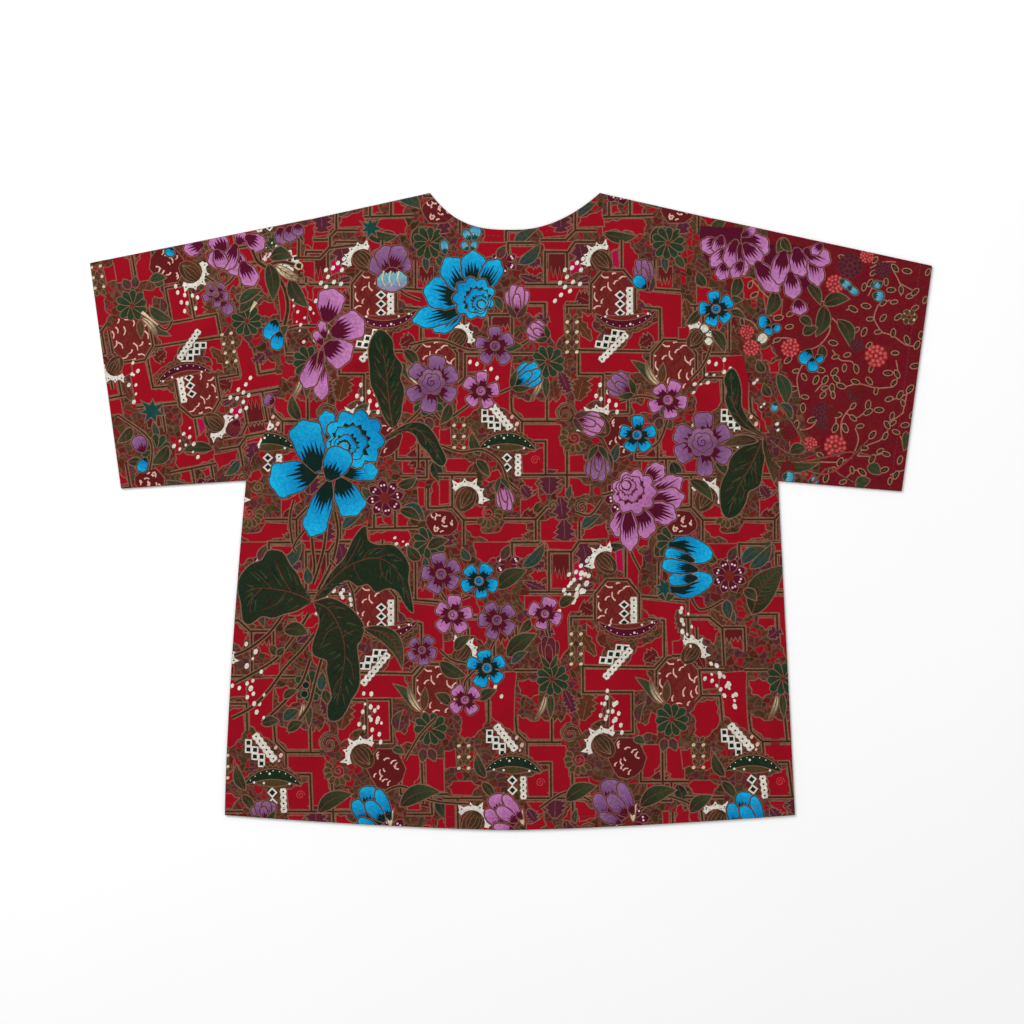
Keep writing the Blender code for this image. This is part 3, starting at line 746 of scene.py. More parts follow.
def drawFeatures(cloth):
    grounds(cloth, (
        (303,627, 306,619, 313,614, 320,616, 320,622, 313,627), (262,671, 270,665, 279,664, 279,675, 264,675),
        (295,617, 303,612, 302,620, 297,624)))
    for k, run in enumerate(flowerStems):
        stem(cloth, track(run), 2.0 if k < 8 else 1.5)
    drawn(cloth, leaf, (
        (284,630, 308,634, 13, 0.12), (277,655, 270,645, 7, 0.0), (277,655, 284,648, 6, 0.0),
        (284,698, 297,690, 7, 0.1), (284,720, 299,710, 9, 0.1, "teal"), (262,724, 279,721, 9, 0.1),
        (288,731, 303,722, 9, 0.1), (325,690, 328,704, 8, 0.0), (321,690, 323,672, 8, 0.0, "teal"),
        (309,584, 307,568, 8, 0.0, "teal")))
    for x, y in ((306, 685), (304.5, 694)):
        edged(cloth, disc(at(x, y), 3.2, 8), "ink", 0.9)
    for x0, y0, x1, y1, *settings in (
        (586,572, 566,606, 14, 7, 2.7, 60), (240,384, 228,424, 9, 6, 2.4, 80), (192,416, 184,450, 8, 5, 2.2, 70),
        (682,606, 690,648, 11, 5, 2.3, 100), (710,662, 738,706, 12, 6, 2.4, 120), (250,640, 260,722, 11, 7, 2.5, 70),
        (364,690, 380,726, 8, 6, 2.3, 80), (306,300, 322,348, 8, 5, 2.0, 100), (690,392, 716,372, 6, 4, 2.0, 30),
        (342,590, 354,604, 5, 4, 2.2, 110), (604,690, 612,722, 7, 6, 2.3, 80), (392,538, 408,546, 4, 3, 1.8, 40)):
        spray(cloth, at(x0, y0), at(x1, y1), *settings, x0)
    streaks = random.Random(7)
    for outline, veins in largeLeaves:
        largeLeaf(cloth, outline, veins, streaks)
    drawn(cloth, leaf, [row + ("leaf", "leafLight", 9) for row in (
        (764,438, 774,482, 13, 0.08), (757,441, 722,446, 9, -0.08), (752,614, 784,566, 26, 0.1),
        (364,628, 402,668, 15, 0.22))])
    drawn(cloth, leaf, (
        (497,588, 526,570, 15, 0.08), (507,656, 536,634, 15, 0.08), (440,662, 466,676, 12, -0.1),
        (455,650, 470,636, 9, 0.1), (512,663, 527,652, 7, 0.1, "teal"), (400,806, 440,792, 16, 0.15),
        (318,812, 352,794, 14, 0.12), (566,800, 596,786, 14, 0.1), (640,806, 676,790, 15, 0.12),
        (690,812, 712,796, 12, 0.1), (404,350, 418,368, 9, 0.1), (450,404, 440,424, 9, 0.1),
        (505,350, 522,346, 8, 0.1, "green"), (612,462, 618,444, 8, 0.0, "teal"), (606,452, 612,470, 7, 0.0),
        (690,480, 712,500, 10, 0.1), (712,330, 724,352, 9, 0.1), (700,310, 686,324, 8, 0.1),
        (420,560, 408,546, 10, 0.1), (428,548, 448,540, 9, 0.1), (470,560, 462,548, 7, 0.1, "teal"),
        (400,510, 420,520, 9, 0.1), (398,486, 416,478, 9, -0.1), (376,498, 362,488, 8, 0.1, "green"),
        (658,596, 676,586, 18, 0.0, "green"), (300,420, 292,396, 10, 0.1), (356,420, 368,404, 9, 0.1),
        (480,700, 496,690, 9, 0.1), (450,704, 436,694, 9, -0.1), (560,606, 574,598, 9, 0.1), (530,620, 520,632, 8, 0.1),
        (744,590, 756,600, 9, 0.1), (716,562, 706,552, 8, 0.1)))
    # turquoise orchid
    petals(cloth, (
        (318,471, 270,483, 36), (318,472, 302,421, 33), (334,446, 325,411, 17), (330,480, 311,536, 25),
        (338,478, 357,515, 29), (342,474, 378,471, 18)), turquoiseLook, 0.60, 6, 3, 50, 0.16, 0.70)
    peonyHeart(cloth, at(355, 439), 25, turquoiseLook, 215, 3)
    petals(cloth, ((328, 480, 344, 448, 28),), turquoiseLook, 0.55, 5, 2, 61, 0.1, 0.64)
    # big peonies
    petals(cloth, (
        (464,304, 434,331, 22), (466,308, 413,321, 22), (466,298, 424,290, 32), (468,294, 446,258, 27),
        (474,288, 473,251, 25), (480,292, 499,260, 21)), turquoiseLook, 0.76, 6, 3, 80, 0.13)
    peonyHeart(cloth, at(474, 298), 18, turquoiseLook, 320, 4)
    petals(cloth, (
        (474,240, 476,226, 12), (470,240, 464,230, 8), (468,250, 462,242, 7), (472,250, 476,241, 7),
        (445,254, 444,240, 8)),
        paleBlueLook, 0.5, 3, 2, 63, 0.08)
    petals(cloth, (
        (646,500, 682,478, 20), (646,504, 684,496, 22), (646,506, 676,518, 22), (640,508, 646,538, 24),
        (630,506, 616,536, 22), (628,508, 630,551, 18), (644,480, 664,466, 18)), mauveLook, 0.86, 6, 3, 90, 0.18)
    peonyHeart(cloth, at(634, 492), 19, mauveLook, 140, 5)
    # mauve orchids, one hanging from the other
    petals(cloth, (
        (320,358, 322,400, 15), (322,350, 305,388, 19), (325,344, 350,360, 30), (322,345, 315,331, 9),
        (325,338, 321,321, 9), (331,334, 364,321, 29), (326,322, 334,289, 27)), mauveLook, 0.66, 6, 3, 70, 0.14, 0.66)
    thinLine(cloth, curve(track((316, 372, 319, 352, 328, 341, 342, 339)), 5), 1.4)
    drawn(cloth, blossom, (
        (481,391, 18, mauveLook, 5, 80, 2), (495,346, 19, violetLook, 5, 95, 3), (668,400, 19, mauveLook, 5, 60, 6),
        (637,435, 18, turquoiseLook, 5, 90, 8), (716,309, 18, turquoiseLook, 5, 100, 9),
        (441,574, 20, violetLook, 5, 30, 10), (479,581, 18, turquoiseLook, 5, 60, 11),
        (453,615, 19, mauveLook, 5, 85, 12), (497,620, 19, violetLook, 5, 40, 13), (422,650, 15, violetLook, 5, 60, 14),
        (487,668, 19, turquoiseLook, 5, 95, 15), (465,700, 16, mauveLook, 4, 40, 16),
        (545,614, 16, mauveLook, 4, 70, 17)))
    drawn(cloth, doubleBlossom, ((433, 384, 27, violetLook, 6, 85, 1), (704, 444, 30, violetLook, 6, 90, 5)))
    drawn(cloth, pearlFlower, ((385, 498, 17, 8, 10), (729, 576, 16, 8, 24)))
    drawn(cloth, sideBud, (
        (548,338, 528,326, 20, mauveLook, "leaf", 1), (517,318, 517,284, 22, mauveLook, "wine", 2),
        (512, 388, 540, 366, 24, turquoiseLook, "leaf", 3), (634, 394, 608, 378, 24, violetLook, "leaf", 4),
        (598,446, 598,482, 22, violetLook, "leaf", 5), (500,478, 508,512, 16, mauveLook, "green", 6),
        (574,418, 604,428, 22, mauveLook, "wine", 7), (650,292, 640,258, 18, violetLook, "wine", 10),
        (550,668, 548,636, 18, wineLook, "leaf", 11), (266,822, 262,800, 24, violetLook, "leaf", 16)))
    # shell-shaped violet and pale turquoise flower of the left shoulder
    petals(cloth, (
        (392,274, 372,258, 23), (392,274, 384,246, 24), (394,270, 410,260, 18), (392,268, 402,246, 18)), violetLook,
        0.62, 5, 3, 240, 0.12, 0.62)
    petals(cloth, ((391, 268, 393, 292, 31),), ("paleBlue", "violetLight", "plum"), 0.30, 5, 3, 250, 0.08, 0.5)
    for x in (384, 391, 399):
        thinLine(cloth, track((x, 271, x - 2, 279, x + 1, 286)), 1.6, "cream", 0.6)
    petals(cloth, ((646, 288, 634, 277, 12),), turquoiseLook, 0.3, 3, 2, 251, 0.08)
    drawn(cloth, darkStar, ((371, 228, 10, 20), (665, 588, 10, -10)))
    drawn(cloth, leaf, ((742, 563, 765, 548, 11, 0.12, "teal"), (726, 600, 729, 619, 9, 0.0, "teal")))
    # half-open peonies along the hem, and the one at the right
    drawn(cloth, halfOpen, (
        (371,807, turquoiseLook, 0, 0.92, 3), (502,812, mauveLook, 14, 0.84, 4), (613,801, violetLook, 0, 0.96, 5),
        (745, 812, turquoiseLook, -8, 0.88, 6)))
    petals(cloth, ((668, 545, 713, 556, 26), (670, 590, 713, 578, 25)), turquoiseLook, 0.70, 5, 1, 200, 0.04, 0.34)
    petals(cloth, (
        (694,561, 664,552, 13), (697,578, 668,580, 13), (698,570, 661,564, 14)), turquoiseLook, 0.66, 5, 2, 203, 0.12,
        0.62)


# How the lowest row of each column lies: moved by, sag, lean, sideways drift
lowRow = {-2: (-478, 307, 17.5, 0.11, 0.0001), -1: (-239, 299.5, 17.5, 0.09, 0.0001),
          0: (4, 299.5, 17.5, 0.03, 0.00003), 1: (231, 301, 15.0, 0.03, 0.00032)}


def drawBack(cloth):
    for col, low in lowRow.items():
        for tile in (Tile(239 * col - 4, -312), Tile(239 * col, 0), Tile(*low)):
            groundTile(cloth, tile)
    drawFeatures(cloth)
    drawLeftShoulder(cloth)
    drawRightShoulder(cloth)


def drawFront(cloth):
    for col in (-2, -1, 0, 1):
        for row in (-1, 0, 1):
            groundTile(cloth, Tile(239 * col + 90, 312 * row))


def laidTurned(cloth, draft, start, end, degrees, scale):
    # A drawing laid on the cloth, turned and scaled about a point that moves to another place
    c, s = scale * math.cos(math.radians(degrees)), scale * math.sin(math.radians(degrees))

    def moved(point):
        x, y = point[0] - start[0], point[1] - start[1]
        return (end[0] + x * c - y * s, end[1] + x * s + y * c)
    for outline, dye, fade in draft.shapes:
        cloth.paint([moved(p) for p in outline], dye, fade and (fade[0], moved(fade[1]), moved(fade[2])))


def darkStar(cloth, centre, radius, turn):
    outline = [polar(centre, radius * ((1.0 + 0.12 * math.sin(k * 1.7)) if k % 2 else 0.46), turn + 180.0 * k / 7)
               for k in range(14)]
    edged(cloth, outline, "teal", 0.9, ("green", centre, outline[1]))


def drawLeftShoulder(cloth):
    # Stems and leaves at the top of the left side, which the armhole crosses
    grounds(cloth, (
        (262,264, 274,270, 268,298, 258,284), (301,226, 315,224, 312,248, 304,244),
        (286,284, 296,300, 292,326, 306,328, 308,312, 298,288), (302,262, 314,262, 314,280, 304,276),
        (306,284, 314,286, 312,300, 308,298)))
    linesOf(cloth, [track(run) for run in (
        (296,258, 320,258, 330,247, 330,236), (330,248, 354,245), (299,240, 299,258))])
    for width, run in ((2.2, (303, 268, 282, 262, 262, 266, 252, 250)), (2.6, (258, 262, 280, 280, 288, 306, 282, 334)),
                       (1.6, (282,330, 300,326, 316,326))):
        stem(cloth, track(run), width)
    drawn(cloth, leaf, (
        (269,264, 273,300, 13, 0.06), (290,279, 308,307, 13, -0.10), (270,258, 292,258, 13, 0.20),
        (240,303, 262,290, 9, 0.1, "green"), (278,338, 288,326, 8, 0.1, "green"),
        (276, 266, 302, 281, 8, -0.04, "cream", "tan", 4, "olive")))
    cloth.paint(disc(at(299, 266), 4.2, 8), "cream")
    cloth.paint(disc(at(299, 266), 2.6, 7), "line")
    petals(cloth, (
        (280,228, 284,244, 15), (290,226, 290,242, 14), (298,224, 298,236, 12)), violetLook, 0.6, 4, 3, 140, 0.14)
    petals(cloth, ((276, 320, 268, 340, 16), (280, 332, 275, 350, 13)), turquoiseLook, 0.34, 3, 2, 35, 0.08)
    dots(cloth, track((294,306, 298,312, 297,322, 301,325, 305,318, 300,331, 304,342, 293,300, 265,257, 270,254)),
         1.7, 60, "pink")


def drawLeftSleeve(cloth):
    # The same ground, upside down and a little turned, with its own flowers
    draft = PrintedCloth()
    for tile in (Tile(0, 0), Tile(239, 0), Tile(0, -312), Tile(239, -312), Tile(-239, 0)):
        groundTile(draft, tile)
    laidTurned(cloth, draft, at(548, 362), at(247, 321), 190.0, 0.93)
    for run in ((240, 268, 225, 285, 205, 276), (150, 318, 165, 330, 172, 322), (118, 415, 150, 440, 150, 470)):
        stem(cloth, track(run), 1.4)
    drawn(cloth, leaf, (
        (166,318, 150,306, 9, 0.15, "teal"), (150,308, 172,320, 9, -0.1, "green"), (236,296, 252,305, 8, 0.1, "green"),
        (240,312, 262,296, 9, 0.1, "green"), (280,340, 286,330, 7, 0.1, "green"), (150,280, 166,278, 8, 0.1, "green"),
        (132,428, 118,442, 9, 0.1), (296,408, 302,420, 9, 0.1), (128,462, 146,466, 8, 0.1)))
    thinLine(cloth, track((142, 312, 158, 325)), 3.0, "cream", 0.8)
    thinLine(cloth, track((256, 302, 250, 312)), 3.6, "cream", 1.0)
    # mauve peony over the shoulder
    petals(cloth, (
        (203,244, 184,250, 17), (224,252, 214,234, 20), (228,256, 208,262, 17), (232,250, 240,276, 21),
        (236,244, 226,270, 15), (238,244, 244,232, 15), (246,236, 264,248, 18), (242,262, 254,286, 19),
        (216,250, 224,268, 14)), mauveLook, 0.76, 5, 3, 120, 0.14)
    ragged(cloth, at(284, 234), at(268, 246), 14, "green", 6, 4)
    dots(cloth, track((272, 243, 276, 246, 279, 241, 277, 249, 268, 257, 263, 259)), 1.1)
    blossom(cloth, at(216, 294), 13, violetLook, 5, 60, 31)
    coil(cloth, at(213, 290), 8, 1.4, 20, 1.4, "violet")
    drawn(cloth, petal, (
        (222,302, 232,314, 12, violetLook, 0.4, 3, 2, 33, 0.1),
        (172,248, 168,256, 10, turquoiseLook, 0.3, 3, 1, 34, 0.1)))
    # white sprays
    dots(cloth, track((133, 363, 138, 371, 134, 375, 129, 385, 136, 385, 136, 394, 134, 402,
                       190, 428, 184, 434, 190, 437, 180, 441, 174, 446, 186, 445, 180, 449, 194, 444, 193, 452, 198,
                       457, 132, 374)))
    drawLeftShoulder(cloth)
    # dark star, and the net and dark diamond by the side
    darkStar(cloth, at(152, 411), 12, 8)
    crown(cloth, at(262, 460), 14, 40, 130)
    netStrip(cloth, at(264, 444), at(284, 436), 9, 3)
    drawn(cloth, petal, (
        (144,452, 136,436, 15, violetLook, 0.5, 4, 2, 41, 0.1),
        (146,458, 140,472, 11, turquoiseLook, 0.3, 3, 2, 42, 0.1),
        (274,402, 264,398, 12, violetLook, 0.5, 3, 2, 43, 0.1), (238,420, 230,436, 13, wineLook, 0.5, 3, 2, 44, 0.1)))


# Small leaves of the right sleeve: place and lean of each, charted in photo pixels
sleeveLeaflets = (
    (704,272, 60), (750,285, 70), (754,295, 30), (742,322, 100), (735,311, 20), (789,327, 10), (778,318, 10),
    (790,314, 30), (777,340, 20), (833,343, -10), (853,309, -30), (864,287, 75), (870,283, 60), (858,263, -60),
    (895,268, -50), (907,271, -10), (928,272, 60), (866,306, -10), (883,303, 40), (894,302, 10), (891,290, 0),
    (901,290, 95), (910,296, 20), (915,292, 40), (870,319, 10), (883,318, 50), (878,332, 10), (864,332, 65),
    (893,333, 80), (907,340, 110), (898,317, 40), (869,345, 40), (856,330, 40), (875,260, 50), (921,335, 80),
    (842,257, -20), (873,273, 40), (886,282, 90), (925,300, 70), (915,308, 30), (788,360, 40), (796,371, 15),
    (804,377, -60), (816,380, 65), (820,370, -15), (835,357, 20), (847,355, 20), (844,368, 80), (856,369, 100),
    (871,369, 70), (895,353, 0), (915,366, 10), (888,373, 0), (897,374, -60), (894,383, 50), (834,372, 50),
    (855,382, -20), (869,381, -50), (876,391, 75), (910,389, 50), (889,399, 20), (903,403, -70), (825,380, 60),
    (836,379, 130), (825,388, 20), (832,388, 90), (841,386, -20), (823,395, 50), (833,395, 100), (793,389, 10),
    (805,397, -10), (868,405, 80), (868,412, 30), (879,410, 0), (853,406, 50), (853,418, -40), (837,415, 10),
    (830,409, 30), (892,416, 70), (887,425, -60), (893,423, 40), (835,428, 65), (845,428, -65), (860,426, 10),
    (872,435, 50), (885,436, 60), (896,432, -20), (864,448, -5), (880,451, 30), (886,454, -20), (872,459, 60),
    (900,460, 70), (884,470, 20), (840,462, 60), (843,482, 20), (896,475, 60), (852,470, 100), (832,470, 30),
    (826,478, 70), (890,481, 80), (812,448, 40), (800,452, 10), (820,455, -30), (812,420, 20), (796,425, 70),
    (803,408, 90), (786,398, 40), (917,345, 60), (912,415, 60), (905,425, 10), (900,395, 60), (862,472, -40),
)

sleeveTendrils = (
    (800,398, 797,378, 804,362), (842,442, 841,424, 846,413, 854,405), (846,413, 856,418, 866,411),
    (893,387, 876,388, 858,384, 842,388), (893,387, 898,376, 896,360), (907,394, 892,400), (907,394, 903,412),
    (907,394, 914,385), (856,372, 852,362, 840,360, 832,350), (880,330, 874,318, 878,305), (878,305, 890,300),
    (880,332, 893,336, 906,345, 918,346), (901,296, 900,284, 893,270), (901,284, 912,290), (874,284, 868,296),
    (832,302, 818,300, 810,288), (826,312, 830,330, 818,346, 800,352), (832,318, 838,324), (846,310, 856,308),
    (857,456, 866,446, 880,440, 888,430), (857,456, 872,456, 886,452), (820,462, 838,462, 852,458),
    (852,458, 858,440, 855,428), (884,424, 896,418, 904,412), (815,392, 822,384), (830,408, 836,418, 834,430),
    (772,344, 782,338, 796,340), (742,318, 752,322, 758,330), (770,300, 760,290, 752,280), (890,475, 904,470),
    (846,478, 856,470, 864,476), (800,430, 810,428, 818,420), (906,448, 900,436), (870,268, 884,262, 896,262),
)


def leaflet(cloth, middle, lean, size):
    edged(cloth, disc(middle, 3.6 * size, 8, 0.50, lean), "seed", 1.0, None, "straw")
    cloth.paint(disc(middle, 2.0 * size, 6, 0.40, lean), "olive")


def clover(cloth, centre, radius, seed, dye="coral", light="pinkDeep", gap="russet"):
    # A small flower head of many tiny rounded petals
    rng = random.Random(seed)
    cloth.paint([polar(centre, radius * (1.06 if k % 2 else 0.92), 15 * k) for k in range(24)], gap)
    for ring, count in ((0.80, 12), (0.46, 7), (0.0, 1)):
        for k in range(count):
            spot = polar(centre, radius * ring, 360.0 * k / count + rng.uniform(-6, 6) + 60 * ring)
            cloth.paint(disc(spot, radius * 0.20, 7), dye)
            cloth.paint(disc(spot, radius * 0.09, 5), light)


def drawRightShoulder(cloth):
    # Flowers at the top of the right side, which the armhole crosses
    drawn(cloth, leaf, (
        (738,277, 732,298, 10, 0.1), (775,291, 766,316, 12, 0.12), (760,240, 747,226, 8, 0.1),
        (727,303, 742,300, 7, 0.1), (729,312, 745,318, 6, 0.1), (712,233, 726,220, 9, 0.1, "green"),
        (705,286, 698,272, 9, 0.1)))
    # mauve clusters on their dark ground
    for corners in ((700,226, 742,228, 748,236, 744,262, 738,276, 712,270, 704,256, 700,244),
                    (766,246, 782,242, 800,246, 828,250, 822,272, 806,288, 788,296, 776,280, 764,262)):
        cloth.paint(track(corners), "plum")
    petals(cloth, (
        (718,240, 702,250, 17), (722,236, 716,254, 13), (730,248, 711,266, 15), (726,262, 720,280, 14),
        (736,240, 729,268, 17), (740,244, 744,276, 12), (742,262, 732,278, 12), (742,238, 768,252, 24),
        (744,244, 760,264, 18), (756,262, 778,292, 20), (742,236, 756,228, 9), (784,250, 778,284, 19),
        (796,248, 803,276, 21), (812,252, 818,286, 17), (790,272, 794,299, 17), (804,250, 830,262, 19),
        (798,300, 800,315, 16), (822,244, 812,254, 10)), mauveLook, 0.74, 5, 3, 160, 0.15)
    drawn(cloth, leaf, ((783, 238, 777, 252, 9, 0.1), (783, 238, 791, 251, 8, -0.1)))
    blossom(cloth, at(716, 309), 18, turquoiseLook, 5, 100, 9)
    clover(cloth, at(747, 332), 7, 3)
    petals(cloth, (
        (770,322, 758,322, 13), (768,326, 768,336, 9), (772,326, 780,330, 8)), turquoiseLook, 0.4, 3, 2, 46, 0.08)
    petals(cloth, (
        (700,332, 708,326, 9), (704,338, 712,344, 8), (758,344, 766,334, 10)), ("white", "cream", "green"), 0.3, 3, 2,
        47, 0.08)


def drawRightSleeve(cloth):
    cloth.paint(track((735,215, 768,226, 764,300, 770,340, 786,372, 800,396, 806,430, 822,452, 818,480, 735,490)),
                "thicket")
    grounds(cloth, (
        (760,350, 770,346, 776,356, 770,362, 762,360), (768,364, 780,360, 778,372, 770,372),
        (764,296, 782,300, 780,318, 766,314), (740,276, 760,280, 756,300, 744,298),
        (745,400, 757,404, 768,432, 760,436, 748,420), (764,442, 768,452, 764,462),
        (790,434, 800,436, 800,446, 790,446), (782,466, 800,464, 806,474, 786,472)))
    for run in sleeveTendrils:
        thinLine(cloth, curve(track(run), 5), 1.2, "straw")
    for x, y, lean in sleeveLeaflets:
        leaflet(cloth, at(x, y), lean, 1.0 + 0.18 * math.sin(x * 0.7 + y))
    drawn(cloth, leaf, (
        (808,284, 820,304, 9, 0.1), (824,304, 849,299, 12, 0.12), (824,306, 816,336, 13, 0.1),
        (838,320, 850,346, 12, 0.16), (803,334, 817,328, 9, 0.1), (800,318, 811,326, 8, 0.1),
        (754,402, 738,396, 9, 0.1, "teal"), (778,374, 786,404, 12, 0.1, "green"), (780,404, 792,418, 9, 0.1, "teal"),
        (790,452, 806,448, 10, 0.1), (776,462, 818,463, 9, -0.12), (822,346, 818,362, 8, 0.1),
        (856,486, 870,480, 10, 0.1, "green"), (868,466, 880,474, 10, 0.1, "green"), (906,432, 904,450, 8, 0.1, "green"),
        (764,372, 758,360, 8, 0.1), (770,396, 764,384, 8, 0.1)))
    drawRightShoulder(cloth)
    # plum heads, coral heads and the small blue flowers
    for look, heads in (
            (("wine", "plum", "brown"), ((850,266, 12), (883,270, 8), (822,412, 9), (822,424, 6), (857,345, 7),
             (854,394, 7))),
            ((), ((835,284, 9), (867,256, 7), (790,348, 9), (876,356, 11), (835,446, 11), (810,444, 7), (751,348, 8))),
            (("maroon", "russet", "vine"), ((790, 433, 8), (788, 468, 7), (832, 412, 6), (856, 392, 6)))):
        for x, y, radius in heads:
            clover(cloth, at(x, y), radius, x, *look)
    petals(cloth, (
        (810,350, 802,364, 13), (812,358, 813,372, 11), (816,356, 822,362, 8)), turquoiseLook, 0.36, 3, 2, 60, 0.08)
    petals(cloth, (
        (840,280, 851,288, 8), (848,287, 858,294, 7), (871,286, 880,284, 8), (882,282, 874,288, 6),
        (873,295, 884,297, 10), (783,476, 794,478, 11), (809,482, 818,480, 8), (776,402, 773,412, 7)), paleBlueLook,
        0.5, 3, 2, 60, 0.08)
    for run in ((800,462, 822,458, 850,452, 872,456), (806,470, 826,474, 846,462, 868,440),
                (812,484, 828,468, 842,476, 858,484), (770,440, 786,452, 800,454, 820,446),
                (776,400, 790,420, 800,436, 806,452)):
        thinLine(cloth, curve(track(run), 5), 3.0, "thicket", 1.6)
        thinLine(cloth, curve(track(run), 5), 0.9, "tan", 0.5)
    for k in range(6):
        edged(cloth, disc(polar(at(909, 317), 4.8, 60 * k), 2.6, 7), "olive", 0.8)
        cloth.paint(disc(polar(at(909, 317), 5.4, 60 * k + 30), 1.3, 6), "cream")
    dots(cloth, track((757, 380, 754, 383, 761, 407, 777, 424, 778, 430, 764, 404)), 1.8, 40, "white", "tan")


# Cut of the laid shirt in millimetres: x across, y from hem to neck, as in the solids; runs are rough lengths of edges
shirtCut = {
    "halfLength": 302.5, "hemDrop": 14.2, "hemRound": 1.45, "backNeckDepth": 35.0, "frontNeckDepth": 155.0,
    "frontNeckPower": 2.6,
    "left": {"neck": (-77.0, 302.5), "shoulder": (-190.0, 277.6), "cuffTop": (-400.0, 235.8), "cuffLow": (-370.5, 22.3),
             "underarm": (-251.5, 30.0), "hem": (-271.7, -288.3), "armholeBow": 9.5, "seamPower": 1.45,
             "neckPower": 3.1},
    "right": {"neck": (84.5, 302.5), "shoulder": (191.0, 278.4), "cuffTop": (400.0, 233.2), "cuffLow": (371.2, 19.6),
              "underarm": (253.5, 29.5), "hem": (269.7, -288.3), "armholeBow": -4.0, "seamPower": 1.0,
              "neckPower": 2.05},
    "runs": {"hem": 545.0, "side": 318.0, "armhole": 257.0, "leftShoulder": 116.0, "rightShoulder": 110.0,
             "backNeck": 176.0, "frontNeck": 390.0, "underarm": 119.0, "cuff": 216.0, "sleeveTop": 214.0},
    "seamGap": 0.4, "step": 4.0,
}

# How the cloth lies: thickness of its layers, soft lift inside the edges, and the larger folds
clothLie = {
    "lowerTop": 1.0, "upperBottom": 1.3, "upperTop": 2.3, "edgeFade": 24.0, "puff": 0.9, "clear": 2.4,
    "grid": 5.5, "plainGrid": 12.0, "linedGrid": 9.0, "rimLine": 0.7, "roll": 0.35, "rollWidth": 1.6, "bulge": 0.25,
    "foldBulge": 0.5,
    "folds": (
        ((-240, 58), (-118, 172), 10, 3.6), ((-228, 22), (-150, -55), 10, 2.4), ((238, 54), (128, 180), 11, 3.8),
        ((-212, 70), (-196, 190), 9, 2.6), ((216, 60), (204, 178), 9, 2.8),
        ((226, 15), (165, -90), 10, 2.2), ((257, -165), (244, -262), 8, 2.8), ((-85, -150), (-60, -285), 13, 2.0),
        ((95, -130), (118, -280), 14, 1.8), ((-205, 240), (-335, 140), 11, 2.4), ((205, 235), (330, 120), 11, 2.8),
        ((-270, 60), (-345, 85), 9, 1.8), ((275, 58), (350, 70), 9, 2.0), ((-60, 235), (70, 232), 10, 1.2),
        ((-150, -20), (-190, -230), 15, 1.6), ((60, 120), (150, -60), 16, 1.6)),
}


def run(pointAt, start, end, edge):
    # Points along an edge from one share of its way to another, without the last
    count = max(2, round(shirtCut["runs"][edge] / shirtCut["step"]))
    return [pointAt(start + (end - start) * k / count) for k in range(count)]


def between(a, b):
    return lambda t: mixed(a, b, t)


def sideSeamAt(side):
    under, hem = side["underarm"], side["hem"]
    return lambda t: (mixed(under, hem, 1.0 - (1.0 - t) ** side["seamPower"])[0], mixed(under, hem, t)[1])


def armholeAt(side, outward=0.0):
    def pointAt(t):
        x, y = mixed(side["shoulder"], side["underarm"], t)
        return (x + side["armholeBow"] * math.sin(math.pi * t ** 1.6) + outward, y)
    return pointAt


def hemAt(t):
    x, y = mixed(shirtCut["left"]["hem"], shirtCut["right"]["hem"], t)
    return (x, y - shirtCut["hemDrop"] * (1.0 - abs(2.0 * t - 1.0) ** shirtCut["hemRound"]))


def neckAt(depth, leftPower, rightPower):
    low, high = shirtCut["left"]["neck"][0], shirtCut["right"]["neck"][0]

    def pointAt(t):
        across = -math.cos(math.pi * t)
        drop = depth * (1.0 - abs(across) ** (leftPower if across < 0 else rightPower))
        return (0.5 * (low + high) + 0.5 * (high - low) * across, shirtCut["halfLength"] - drop)
    return pointAt


backNeckAt = neckAt(shirtCut["backNeckDepth"], shirtCut["left"]["neckPower"], shirtCut["right"]["neckPower"])
frontNeckAt = neckAt(shirtCut["frontNeckDepth"], shirtCut["frontNeckPower"], shirtCut["frontNeckPower"])


def bodyOutline(neckCurve, neckEdge):
    # Hem, right side, neck and left side, anticlockwise
    left, right = shirtCut["left"], shirtCut["right"]
    return (run(hemAt, 0.0, 1.0, "hem") + run(sideSeamAt(right), 1.0, 0.0, "side")
            + run(armholeAt(right), 1.0, 0.0, "armhole")
            + run(between(right["shoulder"], right["neck"]), 0.0, 1.0, "rightShoulder")
            + run(neckCurve, 1.0, 0.0, neckEdge)
            + run(between(left["neck"], left["shoulder"]), 0.0, 1.0, "leftShoulder")
            + run(armholeAt(left), 0.0, 1.0, "armhole") + run(sideSeamAt(left), 0.0, 1.0, "side"))


def sleeveEdge(side):
    # Which way the sleeve points, and its edge at the armhole
    sense = 1.0 if side["neck"][0] > 0 else -1.0
    return sense, armholeAt(side, sense * shirtCut["seamGap"])


def sleeveOutline(side):
    sense, armhole = sleeveEdge(side)
    points = (run(armhole, 0.0, 1.0, "armhole") + run(between(armhole(1.0), side["cuffLow"]), 0.0, 1.0, "underarm")
              + run(between(side["cuffLow"], side["cuffTop"]), 0.0, 1.0, "cuff")
              + run(between(side["cuffTop"], armhole(0.0)), 0.0, 1.0, "sleeveTop"))
    return points if sense > 0 else points[::-1]


def awayFromLine(points, start, end):
    start, along = np.array(start, float), np.array(end, float) - np.array(start, float)
    share = np.clip(((points - start) @ along) / (along @ along), 0.0, 1.0)
    return np.linalg.norm(points - start - share[:, None] * along, axis=1)


